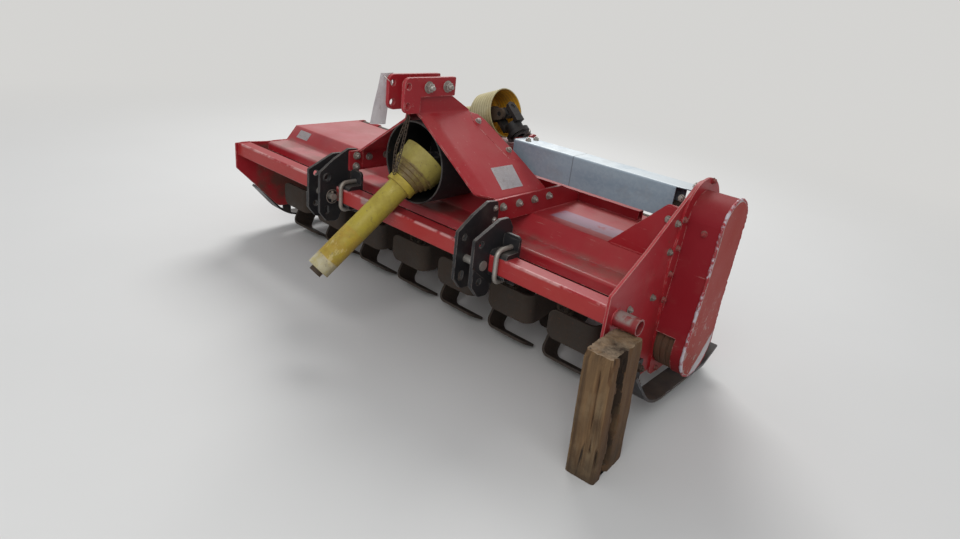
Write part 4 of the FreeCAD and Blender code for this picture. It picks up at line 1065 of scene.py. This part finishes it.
def worn_point(u, v, h):
    """A point of the post's worn surface as x, y and how far it sinks, in mm.
    u and v run from -1 to 1 across it, h from 0 at the foot to 1 at the top."""
    x = u * POST_HALF[0]
    y = v * POST_HALF[1]
    edge_x = near_edge(x, POST_HALF[0])
    edge_y = near_edge(y, POST_HALF[1])
    grain = noise.noise(Vector((x * 0.11, y * 0.11, h * 1.4)))
    fine = noise.noise(Vector((x * 0.5 + 9, y * 0.5, h * 4.0)))
    chip = max(0.0, noise.noise(Vector((x * 0.03, y * 0.03 + 4, h * 5.0))) - 0.05)
    shrink = 1.2 + 1.4 * abs(grain) + 0.9 * abs(fine)
    shrink += min(edge_x, edge_y) * (2.2 + 14 * chip)
    top_wear = max(0.0, h - 0.93) / 0.07
    shrink += top_wear * max(edge_x, edge_y) * (2.0 + 5.0 * max(0.0, grain + 0.3))
    narrow = 10.0 * max(0.0, 0.55 - h) if v < -0.3 else 0.0
    if edge_x > 0:
        x -= math.copysign(shrink, x)
    if edge_y > 0:
        y -= math.copysign(shrink + narrow * edge_y, y)
    split = -20 + 8 * math.sin(h * 5.2) + 7 * noise.noise(Vector((0, 2, h * 9)))
    wide = 19.0 + 12.0 * noise.noise(Vector((5, 2, h * 6)))
    gap = abs(y - split)
    if u > 0.99 and gap < wide:
        depth = SPLIT_DEPTH + 12 * fine if h > 0.06 else 12
        x -= (1 - gap / wide) ** 0.6 * depth
    check = 12 + 3 * math.sin(h * 7.1)
    if v < -0.99 and abs(x - check) < 4 and 0.25 < h < 0.95:
        y += (1 - abs(x - check) / 4) * CHECK_DEPTH
    dip = 0.0
    if h > 0.99:
        pit = max(0.0, noise.noise(Vector((x * 0.05, y * 0.05, 3.0))))
        dip = 1.5 * abs(grain) + 3.0 * pit * max(edge_x, edge_y)
    return x, y, dip


bm = bmesh.new()
bmesh.ops.create_cube(bm, size=2.0)
for axis, cuts in enumerate(POST_CUTS):
    lines = [e for e in bm.edges if abs((e.verts[0].co - e.verts[1].co)[axis]) > 0.01]
    bmesh.ops.subdivide_edges(bm, edges=lines, cuts=cuts, use_grid_fill=True)
for vert in bm.verts:
    u, v, w = vert.co
    h = (w + 1) / 2
    x, y, dip = worn_point(u, v, h)
    rx = x * math.cos(POST_TURN) - y * math.sin(POST_TURN)
    ry = x * math.sin(POST_TURN) + y * math.cos(POST_TURN)
    point = at(POST_TOP[0] + POST_LEAN[0] * (1 - h) + rx, POST_TOP[1] + POST_LEAN[1] * (1 - h) + ry, 0)
    vert.co = (point.x, point.y, FLOOR_Z + (POST_TOP_Z - FLOOR_Z) * h - dip / 1000)
bmesh.ops.recalc_face_normals(bm, faces=bm.faces[:])
post = piece("split_timber_post", bm, "frame", "timber", 50)
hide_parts("timber_post")

# Floor, soft light and a plain world. Far off, the floor and the world show one plain pale tone.
PALE = (0.66, 0.655, 0.64)


def seen(s):
    rays = s.add("LightPath")
    result = s.math("MAXIMUM", rays.outputs["Is Camera Ray"], rays.outputs["Is Glossy Ray"])
    return s.math("MAXIMUM", result, rays.outputs["Is Transmission Ray"])


s = shader("floor")
tone = s.mix(s.noise(1.5), (0.62, 0.615, 0.60), PALE)
near = s.add("BsdfPrincipled", {"Base Color": tone, "Roughness": 0.9})
glow = s.add("Emission", {"Color": PALE, "Strength": 1.0})
inputs = {"Value": s.vector("LENGTH", s.coords, (0, 0, 0), "Value"), "From Min": 1.6, "From Max": 5.0}
far = s.add("MapRange", inputs, interpolation_type="SMOOTHSTEP").outputs[0]
both = s.add("MixShader", {0: s.times(far, seen(s)), 1: near.outputs[0], 2: glow.outputs[0]})
s.add("OutputMaterial", {"Surface": both.outputs[0]})
FLOOR_SIZE = 250.0
floor_mesh = bpy.data.meshes.new("floor")
corners = [(-1, -1), (1, -1), (1, 1), (-1, 1)]
floor_mesh.from_pydata([(x * FLOOR_SIZE, y * FLOOR_SIZE, FLOOR_Z) for x, y in corners], [], [(0, 1, 2, 3)])
floor = bpy.data.objects.new("floor", floor_mesh)
floor_mesh.materials.append(s.owner)
scene.collection.objects.link(floor)

LAMPS = [
    # name, place, size, watts
    ("key", (-2.2, 3.0, 3.2), 2.6, 175.0),
    ("fill", (1.8, -3.2, 2.4), 3.2, 80.0),
]
LAMPS_AIM = Vector((0.0, 0.2, -0.4))
for name, place, size, watts in LAMPS:
    lamp = bpy.data.lights.new(name, "AREA")
    lamp.shape = "DISK"
    lamp.size = size
    lamp.energy = watts
    holder = bpy.data.objects.new(name, lamp)
    scene.collection.objects.link(holder)
    holder.location = place
    aim = LAMPS_AIM - Vector(place)
    holder.rotation_euler = aim.to_track_quat("-Z", "Y").to_euler()

world = bpy.data.worlds.new("world")
s = Shader(world)
studio = s.add("Background", {"Color": (0.93, 0.96, 1.0), "Strength": 0.5})
plain = s.add("Background", {"Color": PALE, "Strength": 1.0})
both = s.add("MixShader", {0: seen(s), 1: studio.outputs[0], 2: plain.outputs[0]})
s.add("OutputWorld", {"Surface": both.outputs[0]})
scene.world = world
